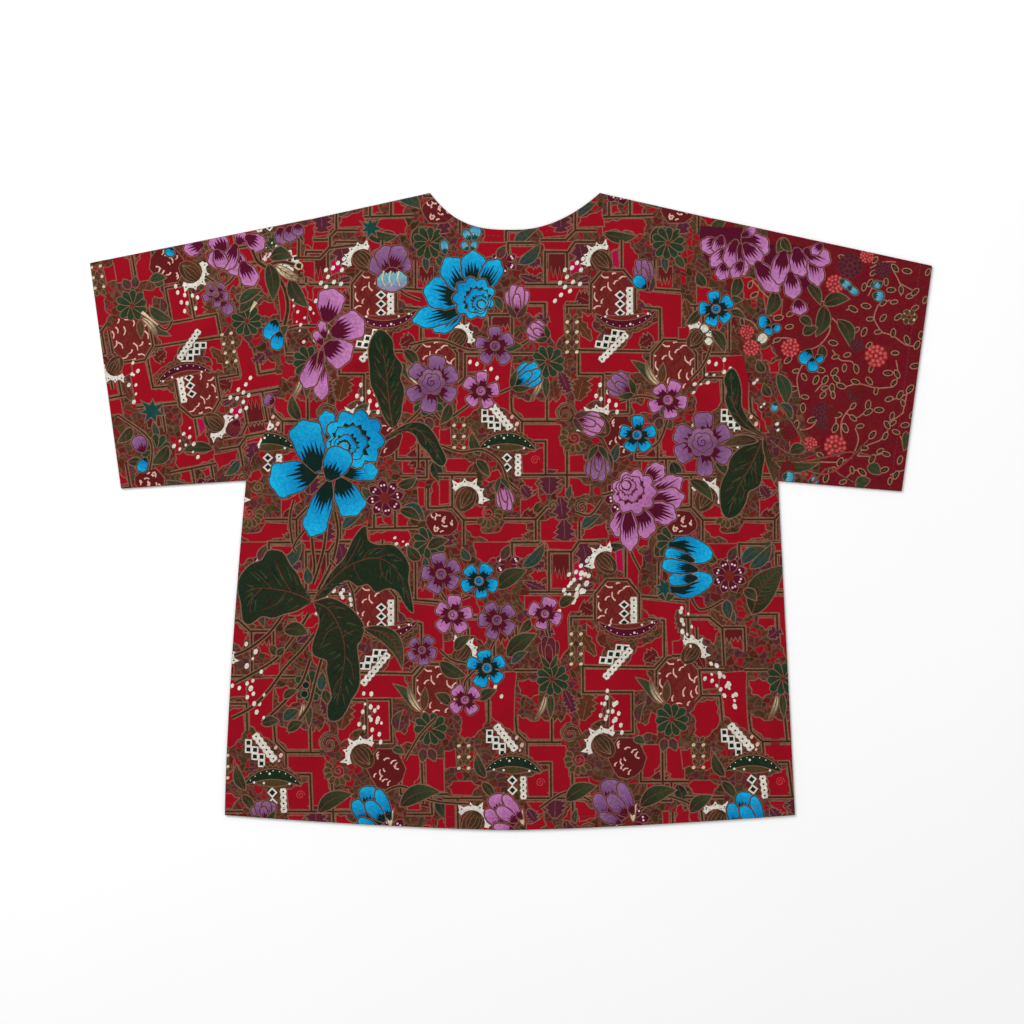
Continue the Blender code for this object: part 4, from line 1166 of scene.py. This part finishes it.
def clothLift(points):
    # Height of the upper layer over its flat place, in mm
    left, right = shirtCut["left"], shirtCut["right"]
    names = ("neck", "cuffTop", "cuffLow", "underarm", "hem")
    corners = [left[n] for n in names] + [hemAt(0.5)] + [right[n] for n in reversed(names)] + [backNeckAt(0.5)]
    away = np.full(len(points), 1e9)
    for a, b in zip(corners, corners[1:] + corners[:1]):
        away = np.minimum(away, awayFromLine(points, a, b))
    fade = np.clip(away / clothLie["edgeFade"], 0.0, 1.0)
    fade = fade * fade * (3.0 - 2.0 * fade)
    height = np.full(len(points), clothLie["puff"])
    for start, end, width, high in clothLie["folds"]:
        height += high * np.exp(-(awayFromLine(points, start, end) / width) ** 2)
    return fade * (height + smallCreases(points))


def smallCreases(points):
    # Low unevenness of washed cotton, a fraction of a millimetre
    x, y = points[:, 0], points[:, 1]
    waves = 0.16 * np.sin(x / 31.0 + 0.6 * np.sin(y / 57.0)) + 0.13 * np.sin(y / 27.0 + 0.8 * np.sin(x / 71.0) + 1.1)
    waves += 0.10 * np.sin((x + y) / 17.0 + 1.5 * np.sin(x / 43.0))
    return waves + 0.08 * np.sin((x - 1.4 * y) / 13.0 + 1.2 * np.sin(y / 39.0))


def edgeRoll(points, outline):
    # The turned edge of a piece dips a little at its very rim
    away = np.full(len(points), 1e9)
    for a, b in zip(np.array(outline), np.roll(outline, -1, axis=0)):
        near = (np.abs(points - 0.5 * (a + b)) < 0.5 * np.abs(b - a) + 2.0 * clothLie["rollWidth"]).all(axis=1)
        if near.any():
            away[near] = np.minimum(away[near], awayFromLine(points[near], a, b))
    dip = np.clip(1.0 - away / clothLie["rollWidth"], 0.0, 1.0)
    return clothLie["roll"] * dip * dip


def linearDye(dye):
    # Linear red, green and blue of a dye, and how much of the thicket's small scrolls it carries
    shade = [c / 255.0 / 12.92 if c / 255.0 <= 0.04045 else ((c / 255.0 + 0.055) / 1.055) ** 2.4 for c in dyes[dye]]
    return shade + [scrolls.get(dye, 0.0)]


def boxOf(points):
    xs, ys = zip(*points)
    return min(xs), min(ys), max(xs), max(ys)


def gridPoints(outline, step):
    x0, y0, x1, y1 = boxOf(outline)
    return [(x0 + (i + 0.5 + 0.13 * (j % 2)) * step, y0 + (j + 0.5) * step)
            for j in range(int((y1 - y0) / step) + 1) for i in range(int((x1 - x0) / step) + 1)]


def covered(spots, shape):
    # Which of the spots a shape covers, also where its outline crosses itself
    a = np.array(shape)
    b = np.roll(a, -1, axis=0)
    x, y = spots[:, :1], spots[:, 1:]
    side = (b[:, 0] - a[:, 0]) * (y - a[:, 1]) - (x - a[:, 0]) * (b[:, 1] - a[:, 1])
    rising = ((a[:, 1] <= y) & (y < b[:, 1]) & (side > 0)).sum(axis=1)
    falling = ((b[:, 1] <= y) & (y < a[:, 1]) & (side < 0)).sum(axis=1)
    return rising != falling


def lastShapeOn(spots, shapes):
    # The last painted shape on each spot, or -1 for the ground
    order = np.argsort(spots[:, 0], kind="stable")
    across = spots[order, 0]
    shown = np.full(len(spots), -1)
    for index in range(len(shapes) - 1, -1, -1):
        x0, y0, x1, y1 = boxOf(shapes[index][0])
        first, last = np.searchsorted(across, (x0, x1))
        some = order[first:last]
        some = some[(shown[some] < 0) & (spots[some, 1] > y0) & (spots[some, 1] < y1)]
        if len(some):
            shown[some[covered(spots[some], shapes[index][0])]] = index
    return shown


def middles(verts, tris):
    return np.array([(v.x, v.y) for v in verts])[np.array(tris)].mean(axis=1)


def sidesOf(tri):
    return zip(tri, (tri[1], tri[2], tri[0]))


def meshed(points, edges, rim):
    # Triangles inside the rim, which is made of the first points, and which points went into each of theirs
    places, face = [Vector(p) for p in points], list(range(rim))
    verts, _, tris, merged, _, origins = delaunay_2d_cdt(places, edges, [face], 0, 1e-4, True)
    return verts, [tri for tri, origin in zip(tris, origins) if origin], merged


def printedPatch(outline, shapes, loose):
    # Triangles of the outline in which every printed shape has its own edges
    points, edges = list(outline), []
    lowX, lowY, highX, highY = boxOf(outline)
    for shape, _, _ in shapes:
        x0, y0, x1, y1 = boxOf(shape)
        if x1 < lowX or x0 > highX or y1 < lowY or y0 > highY:
            continue
        first, count = len(points), len(shape)
        points += shape
        edges += [(first + k, first + (k + 1) % count) for k in range(count)]
    verts, tris, _ = meshed(points, edges, len(outline))
    return onlyShownEdges(verts, tris, outline, shapes, loose)


def plainPatch(outline, loose):
    # Triangles of the outline alone, and the places of its points among theirs
    verts, tris, merged = meshed(outline + loose, [], len(outline))
    number = {source: index for index, sources in enumerate(merged) for source in sources}
    return [(v.x, v.y) for v in verts], tris, number


def onlyShownEdges(verts, tris, outline, shapes, loose):
    # The same picture triangulated again without the edges that later shapes hide: points, triangles, shape on each
    looks = [shapes[k][1:] if k >= 0 else None for k in lastShapeOn(middles(verts, tris), shapes)]
    sides = {}
    for n, tri in enumerate(tris):
        for a, b in sidesOf(tri):
            sides.setdefault((min(a, b), max(a, b)), []).append(n)
    shown = [edge for edge, both in sides.items() if len(both) == 1 or looks[both[0]] != looks[both[1]]]
    used = sorted({k for edge in shown for k in edge})
    number = {k: n for n, k in enumerate(used)}
    near = KDTree(len(used))
    for n, k in enumerate(used):
        near.insert((verts[k].x, verts[k].y, 0.0), n)
    near.balance()
    points = [verts[k] for k in used]
    points += [Vector(p) for p in loose if near.find((p[0], p[1], 0.0))[2] > clothLie["clear"]]
    edges = [(number[a], number[b]) for a, b in shown]
    verts, _, tris, _, _, _ = delaunay_2d_cdt(points, edges, [], 0, 1e-4, False)
    tris = [tri for tri, kept in zip(tris, covered(middles(verts, tris), outline)) if kept]
    return [(v.x, v.y) for v in verts], tris, lastShapeOn(middles(verts, tris), shapes).tolist()


def borderLoop(tris):
    # The ordered rim of a triangulated patch
    edges = {edge for tri in tris for edge in sidesOf(tri)}
    after = {a: b for a, b in edges if (b, a) not in edges}
    start = next(iter(after))
    loop, here = [start], after[start]
    while here != start:
        loop.append(here)
        here = after[here]
    return loop


class Shell:
    # Points, triangles, colours, normals and map of one piece of cloth, gathered skin by skin
    def __init__(self, name):
        self.name, self.points = name, []
        self.tris, self.colours, self.normals, self.uvs = [], [], [], []

    def triangle(self, corners, colours, normals, uvs):
        for rows, row in zip((self.tris, self.colours, self.normals, self.uvs), (corners, colours, normals, uvs)):
            rows.append(row)

    def skin(self, plan, tris, heights, normals, colours, uvAt, up):
        # Adds one skin and returns the number of its first point
        first = len(self.points)
        self.points += [(x, y, z) for (x, y), z in zip(plan, heights)]
        for tri, colour in zip(tris, colours):
            order = tri if up else tri[::-1]
            shades = colour(order) if callable(colour) else [colour] * 3
            self.triangle([first + k for k in order], shades, [normals[k] for k in order],
                          [uvAt(plan[k]) for k in order])
        return first

    def quad(self, corners, normals, colour, uvs):
        for pick in ((0, 1, 2), (0, 2, 3)):
            self.triangle([corners[k] for k in pick], [colour] * 3, [normals[k] for k in pick], [uvs[k] for k in pick])

    def finish(self, material, slot):
        used = sorted({k for tri in self.tris for k in tri})
        place = {k: n for n, k in enumerate(used)}
        mesh = bpy.data.meshes.new(self.name)
        verts = np.array([self.points[k] for k in used]) * 0.001
        mesh.from_pydata(verts.tolist(), [], [[place[k] for k in tri] for tri in self.tris])
        colours = np.array(self.colours).reshape(-1, 4)
        mesh.attributes.new("scroll", "FLOAT", "CORNER").data.foreach_set("value", colours[:, 3].copy())
        colours[:, 3] = 1.0
        mesh.color_attributes.new("dye", "FLOAT_COLOR", "CORNER").data.foreach_set("color", colours.ravel())
        mesh.uv_layers.new(name="OFBake").data.foreach_set("uv", np.array(self.uvs).reshape(-1, 2).ravel())
        mesh.polygons.foreach_set("use_smooth", [True] * len(self.tris))
        mesh.normals_split_custom_set(np.array(self.normals).reshape(-1, 3).tolist())
        print("  ", self.name, len(verts), "points,", len(self.tris), "triangles")
        return madePiece(self.name, mesh, material)


def madePiece(name, mesh, material):
    obj = bpy.data.objects.new(name, mesh)
    bpy.context.scene.collection.objects.link(obj)
    mesh.materials.append(material)
    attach(obj, "root")
    return obj


def painted(plan, shapes, top, ground):
    # The colour of every triangle, or a function that reads a fade at its corners
    linear = {dye: linearDye(dye) for dye in dyes}
    colours = []
    for index in top:
        dye, fade = shapes[index][1:] if index >= 0 else (ground, None)
        colours.append(fadeColour(plan, linear[dye], linear[fade[0]], *fade[1:]) if fade else linear[dye])
    return colours


def fadeColour(plan, near, far, start, end):
    dx, dy, length = wayOf(start, end)

    def shade(x, y):
        t = min(1.0, max(0.0, ((x - start[0]) * dx + (y - start[1]) * dy) / length ** 2))
        return [a + (b - a) * t for a, b in zip(near, far)]
    return lambda order: [shade(*plan[k]) for k in order]


def heightAndNormal(plan, base, outline, lifted, sense):
    # Heights of a skin and its smooth normals, from the slope of the cloth's lift
    points = np.array(plan)
    step = 0.4

    def heights(where):
        high = clothLift(where) if lifted else np.zeros(len(where))
        return base + high - (edgeRoll(where, outline) if lifted and sense > 0 else 0.0)
    slopeX, slopeY = ((heights(points + way) - heights(points - way)) / (2 * step) for way in np.eye(2) * step)
    normals = np.stack([-slopeX, -slopeY, np.ones(len(points))], axis=1) * sense
    normals /= np.linalg.norm(normals, axis=1)[:, None]
    return heights(points).tolist(), normals.tolist()


def outwardNormals(plan, loop):
    normals = {}
    for before, here, after in zip(loop[-1:] + loop[:-1], loop, loop[1:] + loop[:1]):
        dx, dy, length = wayOf(plan[before], plan[after])
        normals[here] = (dy / length, -dx / length, 0.0)
    return normals


def mapTo(outline, corner, scale):
    lowX, lowY, _, _ = boxOf(outline)
    return lambda p: (corner[0] + (p[0] - lowX) * scale, corner[1] + (p[1] - lowY) * scale)


def cutPiece(outline, cloth, ground, plainStep):
    # The printed patch of a piece and a coarser plain one on the same rim: points, triangles, rim and colours of each
    loose = gridPoints(outline, clothLie["grid"])
    loose += grown(outline, -clothLie["rimLine"]) + grown(outline, -clothLie["rollWidth"])
    plan, tris, top = printedPatch(outline, cloth.shapes, loose)
    loop = borderLoop(tris)
    plainPlan, plainTris, number = plainPatch([plan[k] for k in loop], gridPoints(outline, plainStep))
    plainRim = {k: number[n] for n, k in enumerate(loop)}
    return ((plan, tris, {k: k for k in loop}, painted(plan, cloth.shapes, top, ground)),
            (plainPlan, plainTris, plainRim, [linearDye("wrongSide")] * len(plainTris)), loop)


def addSkin(shell, patch, outline, base, lifted, up, uvAt):
    # Adds a patch as one skin, and gives the rim's points in it and their heights
    plan, tris, rim, colours = patch
    heights, normals = heightAndNormal(plan, base, outline, lifted, 1.0 if up else -1.0)
    first = shell.skin(plan, tris, heights, normals, colours, uvAt, up)
    return {k: first + here for k, here in rim.items()}, {k: heights[here] for k, here in rim.items()}


def addRim(shell, plan, loop, upper, lower, colour, uvAt, keep=None, bulge=clothLie["bulge"]):
    # Closes the edge between two skins with a soft rounded strip, and gives the points of its middle
    outward = outwardNormals(plan, loop)
    (above, aboveHigh), (below, belowHigh) = upper, lower
    middle = {k: len(shell.points) + n for n, k in enumerate(loop)}
    for k in loop:
        (x, y), (nx, ny, _) = plan[k], outward[k]
        shell.points.append((x + nx * bulge, y + ny * bulge, 0.5 * (aboveHigh[k] + belowHigh[k])))

    def tilted(k, rise):
        return (0.7 * outward[k][0], 0.7 * outward[k][1], rise)
    for a, b in zip(loop, loop[1:] + loop[:1]):
        if keep and not keep(plan[a], plan[b]):
            continue
        uvs = [uvAt(plan[k]) for k in (a, b, b, a)]
        shell.quad([middle[a], middle[b], above[b], above[a]],
                   [outward[a], outward[b], tilted(b, 0.7), tilted(a, 0.7)], colour, uvs)
        shell.quad([below[a], below[b], middle[b], middle[a]],
                   [tilted(a, -0.7), tilted(b, -0.7), outward[b], outward[a]], colour, uvs)
    return middle


def panel(name, outline, cloth, onTop, material, slot):
    # A single layer with its print outwards: printed skin, plain wrong side and rim
    printed, plain, loop = cutPiece(outline, cloth, "thicket", clothLie["plainGrid"])
    shell = Shell(name)
    x0, y0, x1, y1 = boxOf(outline)
    printMap = mapTo(outline, (0.105, 0.005), min(0.89 / (x1 - x0), 0.99 / (y1 - y0)))
    plainMap = mapTo(outline, (0.004, 0.004), 0.09 / (x1 - x0))
    outside, inside = (clothLie["upperTop"], clothLie["upperBottom"]) if onTop else (0.0, clothLie["lowerTop"])
    skins = [addSkin(shell, printed, outline, outside, onTop, onTop, printMap),
             addSkin(shell, plain, outline, inside, onTop, not onTop, plainMap)]
    upper, lower = skins if onTop else skins[::-1]
    addRim(shell, printed[0], loop, upper, lower, linearDye("thicket"), printMap)
    return shell.finish(material, slot)


def foldedEdge(side):
    # Tells whether an edge of the sleeve's plan is a closed one: the fold at its top or the underarm seam
    _, armhole = sleeveEdge(side)
    closed = ((side["cuffTop"], armhole(0.0)), (armhole(1.0), side["cuffLow"]))
    return lambda p, q: min(awayFromLine(np.array([mixed(p, q, 0.5)]), a, b)[0] for a, b in closed) < 0.02


def sleeve(name, side, cloth, ground, material, slot):
    # A flattened tube: printed outside above and below, plain inside, open at the cuff and at the armhole
    outline = sleeveOutline(side)
    printed, plain, loop = cutPiece(outline, cloth, ground, clothLie["linedGrid"])
    plan, rimDye, shell = printed[0], linearDye(ground), Shell(name)
    _, lowY, _, highY = boxOf(outline)
    topMap, lowMap, linedMap = (mapTo(outline, corner, share / (highY - lowY)) for corner, share in (
        ((0.004, 0.225), 0.77), ((0.655, 0.225), 0.40), ((0.004, 0.004), 0.21)))
    upper = addSkin(shell, printed, outline, clothLie["upperTop"], True, True, topMap)
    lower = addSkin(shell, printed, outline, 0.0, False, False, lowMap)
    underTop = addSkin(shell, plain, outline, clothLie["upperBottom"], True, False, linedMap)
    overLow = addSkin(shell, plain, outline, clothLie["lowerTop"], False, True, linedMap)
    isFolded = foldedEdge(side)

    def isOpen(p, q):
        return not isFolded(p, q)
    foldMiddle = addRim(shell, plan, loop, upper, lower, rimDye, topMap, isFolded, clothLie["foldBulge"])
    rimTop = addRim(shell, plan, loop, upper, underTop, rimDye, topMap, isOpen)
    rimLow = addRim(shell, plan, loop, overLow, lower, rimDye, lowMap, isOpen)
    outward = outwardNormals(plan, loop)
    for before, here, after in zip(loop[-1:] + loop[:-1], loop, loop[1:] + loop[:1]):
        folded, corners = isFolded(plan[here], plan[after]), (here, after, after, here)
        if folded:
            shell.quad([underTop[0][here], underTop[0][after], overLow[0][after], overLow[0][here]],
                       [tuple(-c for c in outward[k]) for k in corners], linearDye("wrongSide"),
                       [linedMap(plan[k]) for k in corners])
        if folded != isFolded(plan[before], plan[here]):
            ring = [upper[0][here], foldMiddle[here], lower[0][here], rimLow[here], overLow[0][here], underTop[0][here],
                    rimTop[here]]
            if folded:
                ring.reverse()
            for k in range(1, 6):
                shell.triangle([ring[0], ring[k], ring[k + 1]], [rimDye] * 3, [outward[here]] * 3,
                               [topMap(plan[here])] * 3)
    return shell.finish(material, slot)


# Shader maths on sockets, written as plain sums
class Wire:
    def __init__(self, shader, socket):
        self.shader, self.socket = shader, socket

    def maths(self, operation, a, b=0.0):
        return self.shader.node("ShaderNodeMath", {"operation": operation}, {0: a, 1: b})

    def __add__(self, other):
        return self.maths("ADD", self, other)

    def __radd__(self, other):
        return self.maths("ADD", other, self)

    def __sub__(self, other):
        return self.maths("SUBTRACT", self, other)

    def __rsub__(self, other):
        return self.maths("SUBTRACT", other, self)

    def __mul__(self, other):
        return self.maths("MULTIPLY", self, other)

    def __rmul__(self, other):
        return self.maths("MULTIPLY", other, self)

    def waves(self, pitch):
        return self.maths("SINE", self * (2 * math.pi / pitch))


class Shader:
    def __init__(self, name):
        self.material = bpy.data.materials.new(name)
        self.material.use_nodes = True
        self.tree = self.material.node_tree
        self.tree.nodes.clear()
        self.place = self.node("ShaderNodeTexCoord", output=3)

    def node(self, kind, settings=None, values=None, output=0):
        made = self.tree.nodes.new(kind)
        for key, value in (settings or {}).items():
            if key == "stops":
                ramp = made.color_ramp
                while len(ramp.elements) < len(value):
                    ramp.elements.new(0.5)
                for element, (place, colour) in zip(ramp.elements, value):
                    element.position, element.color = place, colour
            else:
                setattr(made, key, value)
        for key, value in (values or {}).items():
            if isinstance(value, Wire):
                self.tree.links.new(value.socket, made.inputs[key])
            else:
                made.inputs[key].default_value = value
        return Wire(self, made.outputs[output]) if made.outputs else None

    def noise(self, scale, detail, output=0):
        return self.node("ShaderNodeTexNoise", None, {"Vector": self.place, "Scale": scale, "Detail": detail}, output)

    def cells(self, feature, vector, scale, output=0):
        return self.node("ShaderNodeTexVoronoi", {"feature": feature}, {"Vector": vector, "Scale": scale}, output)

    def spread(self, value, low, high, toLow, toHigh):
        return self.node("ShaderNodeMapRange", None, {"Value": value, 1: low, 2: high, 3: toLow, 4: toHigh})

    def mix(self, share, first, second):
        return self.node("ShaderNodeMix", {"data_type": "RGBA"}, {0: share, 6: first, 7: second}, 2)

    def across(self, vector, axis):
        return self.node("ShaderNodeSeparateXYZ", None, {0: vector}, axis)

    def bump(self, height, strength, distance):
        return self.node("ShaderNodeBump", None, {"Height": height, "Strength": strength, "Distance": distance})

    def surface(self, values):
        body = self.node("ShaderNodeBsdfPrincipled", None, values)
        self.node("ShaderNodeOutputMaterial", None, {"Surface": body})
        return self.material


cottonFinish = {"warpPitch": 0.00052, "weftPitch": 0.00058, "roughness": 0.86, "sheen": 0.03, "patchScale": 38.0,
                "crackleScale": 150.0, "slubScale": 900.0, "weaveBump": 0.00004, "brushScale": 420.0, "brushing": 1.1,
                "scrollScale": 165.0, "scrollDrift": 90.0, "scrollBend": 0.010, "scrollLine": (0.025, 0.095),
                "scrollDyes": ((0.0, "maroon"), (0.26, "brown"), (0.46, "wine"), (0.60, "olive"), (0.76, "line"),
                               (0.9, "crimson"))}
# Thread: dark and light are painted shade and painted light of one red, laid along the twist
threadFinish = {"dark": (0.16, 0.012, 0.02, 1.0), "light": (0.24, 0.02, 0.035, 1.0), "twist": 0.0011, "bump": 0.00005}


def thicketScrolls(shader):
    # Small curled leaves and stalks of the thickets: dark cells between pale wax lines
    bend = cottonFinish["scrollBend"]
    bent = shader.node("ShaderNodeVectorMath", {"operation": "MULTIPLY_ADD"},
                       {0: shader.noise(cottonFinish["scrollDrift"], 2.0, 1), 1: (bend, bend, 0.0), 2: shader.place})
    flat = shader.node("ShaderNodeVectorMath", {"operation": "MULTIPLY"}, {0: bent, 1: (1.0, 1.0, 0.0)})
    edge = shader.cells("DISTANCE_TO_EDGE", flat, cottonFinish["scrollScale"])
    pick = shader.across(shader.cells("F1", flat, cottonFinish["scrollScale"], 1), 0)
    stops = [(share, linearDye(name)[:3] + [1.0]) for share, name in cottonFinish["scrollDyes"]]
    dyesHere = shader.node("ShaderNodeValToRGB", {"stops": stops}, {0: pick})
    line = shader.spread(edge, *cottonFinish["scrollLine"], 1.0, 0.0)
    return shader.mix(line, dyesHere, linearDye("scrollLine")[:3] + [1.0])


def batikCotton():
    shader = Shader("batikCotton")
    plain = shader.node("ShaderNodeAttribute", {"attribute_name": "dye"})
    scroll = shader.node("ShaderNodeAttribute", {"attribute_name": "scroll"}, output=2)
    dye = shader.mix(scroll, plain, thicketScrolls(shader))
    # the weave also tints the colour below: lighter on the threads' crowns, darker in the dips between them, a faint
    # painted shade of the relief that the bump gives
    warp = shader.across(shader.place, 0).waves(cottonFinish["warpPitch"])
    weft = shader.across(shader.place, 1).waves(cottonFinish["weftPitch"])
    weave = 0.5 + 0.25 * (warp + weft)
    # broad patches: uneven dye, and partly a painted soft shade over the cloth
    patches, slubs = shader.noise(cottonFinish["patchScale"], 4.0), shader.noise(cottonFinish["slubScale"], 2.0)
    cracks = shader.cells("DISTANCE_TO_EDGE", shader.place, cottonFinish["crackleScale"])
    crackle = shader.spread(cracks, 0.0, 0.035, 0.84, 1.0)
    # the hand-brushed dyes are streaky, the red ground is even: it has next to no green in it
    green = shader.node("ShaderNodeSeparateColor", None, {0: dye}, 1)
    brushed = shader.spread(green, 0.006, 0.018, 0.0, cottonFinish["brushing"]) * (
        shader.noise(cottonFinish["brushScale"], 3.0) - 0.5)
    shade = (0.78 + 0.28 * patches) * crackle * (0.93 + 0.12 * slubs) * (0.97 + 0.06 * weave) * (1.0 + brushed)
    colour = shader.node("ShaderNodeVectorMath", {"operation": "SCALE"}, {0: dye, "Scale": shade})
    return shader.surface({"Base Color": colour, "Roughness": cottonFinish["roughness"] - 0.08 * slubs,
                           "Normal": shader.bump(weave + 0.35 * slubs, 0.6, cottonFinish["weaveBump"]),
                           "Sheen Weight": cottonFinish["sheen"], "Sheen Roughness": 0.5, "Specular IOR Level": 0.06})


def sewingThread():
    shader = Shader("sewingThread")
    twist = (shader.across(shader.place, 0) + shader.across(shader.place, 1)).waves(threadFinish["twist"])
    # lighter red on the crowns of the twist and darker red in its grooves: painted light and shade of the twisted
    # thread
    return shader.surface({"Base Color": shader.mix(0.5 + 0.5 * twist, threadFinish["dark"], threadFinish["light"]),
                           "Roughness": 0.6, "Normal": shader.bump(twist, 0.4, threadFinish["bump"])})


def paleFloor():
    shader = Shader("paleFloor")
    colour = shader.mix(shader.noise(3.0, 2.0), (0.94, 0.94, 0.94, 1.0), (0.97, 0.97, 0.97, 1.0))
    return shader.surface({"Base Color": colour, "Roughness": 0.9, "Specular IOR Level": 0.0})


# Rows of small stitches in dark red thread; a profile gives share of the length, width and height
stitching = {"length": 2.6, "gap": 0.9, "start": 0.12, "width": 0.5, "height": 0.22, "sides": 6,
             "hem": 11.0, "cuff": 11.0, "neck": 6.0, "hemRow": 535.0, "cuffRow": 212.0, "neckRow": 180.0,
             "profile": ((0.0, 0.25, -0.25), (0.18, 0.9, 0.6), (0.5, 1.0, 1.0), (0.82, 0.9, 0.6), (1.0, 0.25, -0.25))}


def stitchRow(name, pathAt, edge, material):
    pitch, sides = stitching["length"] + stitching["gap"], stitching["sides"]
    count = int(stitching[edge] / pitch)
    verts, faces = [], []
    for k in range(count):
        start, end = (pathAt((k + stitching["start"] + more) / count) for more in (0.0, stitching["length"] / pitch))
        low, high = clothLie["upperTop"] + clothLift(np.array([start, end]))
        span, first = spanOf(start, end), len(verts)
        for share, wide, rise in stitching["profile"]:
            for turn in range(sides):
                angle = 2.0 * math.pi * turn / sides
                z = low + (high - low) * share + stitching["height"] * (rise - 0.35) * (0.6 + 0.4 * math.sin(angle))
                x, y = span(share, 0.5 * stitching["width"] * wide * math.cos(angle))
                verts.append((x, y, z + 0.12 * math.sin(angle)))
        for ring in range(first, len(verts) - sides, sides):
            for a, b in zip(range(sides), [*range(1, sides), 0]):
                faces.append((ring + a, ring + sides + a, ring + sides + b, ring + b))
        faces += [range(first, first + sides), range(len(verts) - 1, len(verts) - sides - 1, -1)]
    mesh = bpy.data.meshes.new(name)
    mesh.from_pydata([tuple(0.001 * c for c in v) for v in verts], [], [tuple(face) for face in faces])
    mesh.polygons.foreach_set("use_smooth", [True] * len(faces))
    return madePiece(name, mesh, material)


def insetPath(pointAt, by):
    # A path set in from an edge, on the left of its way
    def insetAt(t):
        dx, dy, length = wayOf(pointAt(max(0.0, t - 0.004)), pointAt(min(1.0, t + 0.004)))
        x, y = pointAt(t)
        return (x - dy / length * by, y + dx / length * by)
    return insetAt


def printedBy(draw):
    cloth = PrintedCloth()
    draw(cloth)
    return cloth


print("printing the cloth")
backPrint, frontPrint = printedBy(drawBack), printedBy(drawFront)
leftPrint, rightPrint = printedBy(drawLeftSleeve), printedBy(drawRightSleeve)

print("cutting and laying the pieces")
cotton, thread = batikCotton(), sewingThread()
left, right = shirtCut["left"], shirtCut["right"]
backCloth = panel("backCloth", bodyOutline(backNeckAt, "backNeck"), backPrint, True, cotton, "back_cloth")
frontCloth = panel("frontCloth", bodyOutline(frontNeckAt, "frontNeck"), frontPrint, False, cotton, "front_cloth")
leftSleeve = sleeve("leftSleeveCloth", left, leftPrint, "thicket", cotton, "sleeve_left_cloth")
rightSleeve = sleeve("rightSleeveCloth", right, rightPrint, "vine", cotton, "sleeve_right_cloth")

print("sewing")
hemStitches = stitchRow("hemStitches", insetPath(hemAt, stitching["hem"]), "hemRow", thread)
neckStitches = stitchRow("neckStitches", insetPath(backNeckAt, -stitching["neck"]), "neckRow", thread)
leftCuff, rightCuff = (between(side["cuffTop"], side["cuffLow"]) for side in (left, right))
leftCuffStitches = stitchRow("leftCuffStitches", insetPath(leftCuff, stitching["cuff"]), "cuffRow",
                             thread)
rightCuffStitches = stitchRow("rightCuffStitches", insetPath(rightCuff, -stitching["cuff"]), "cuffRow",
                              thread)

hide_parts("back_panel")
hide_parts("front_panel")
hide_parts("sleeve_left")
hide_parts("sleeve_right")

print("floor, light and camera")
studio = {"floorSize": 9.0, "floorDrop": 0.0004, "cameraHigh": 2.2995, "middleX": 0.00095, "middleY": -0.000475,
          "lens": 85.0, "sensor": 36.0, "world": 0.60, "keyPower": 72.0, "fillPower": 8.0}
bpy.ops.object.select_all(action="DESELECT")
bpy.ops.mesh.primitive_plane_add(size=studio["floorSize"], location=(0.0, 0.0, -studio["floorDrop"]))
floor = bpy.context.object
floor.name = "floor"
floor.data.materials.append(paleFloor())


def softLight(name, place, size, power):
    data = bpy.data.lights.new(name, "AREA")
    data.shape, data.size, data.energy = "SQUARE", size, power
    lamp = bpy.data.objects.new(name, data)
    lamp.location = place
    lamp.rotation_euler = (-Vector(place)).to_track_quat("-Z", "Y").to_euler()
    bpy.context.scene.collection.objects.link(lamp)


softLight("keyLight", (-1.5, 1.9, 2.1), 1.6, studio["keyPower"])
softLight("fillLight", (1.9, -1.0, 2.4), 2.4, studio["fillPower"])

cameraData = bpy.data.cameras.new("camera")
cameraData.lens, cameraData.sensor_width = studio["lens"], studio["sensor"]
camera = bpy.data.objects.new("camera", cameraData)
camera.location = (studio["middleX"], studio["middleY"], studio["cameraHigh"])
bpy.context.scene.collection.objects.link(camera)
bpy.context.scene.camera = camera
bpy.context.scene.view_settings.view_transform = "Standard"
world = bpy.data.worlds.new("studioAir")
world.use_nodes = True
world.node_tree.nodes["Background"].inputs["Color"].default_value = (1.0, 1.0, 1.0, 1.0)
world.node_tree.nodes["Background"].inputs["Strength"].default_value = studio["world"]
bpy.context.scene.world = world

bpy.context.view_layer.update()
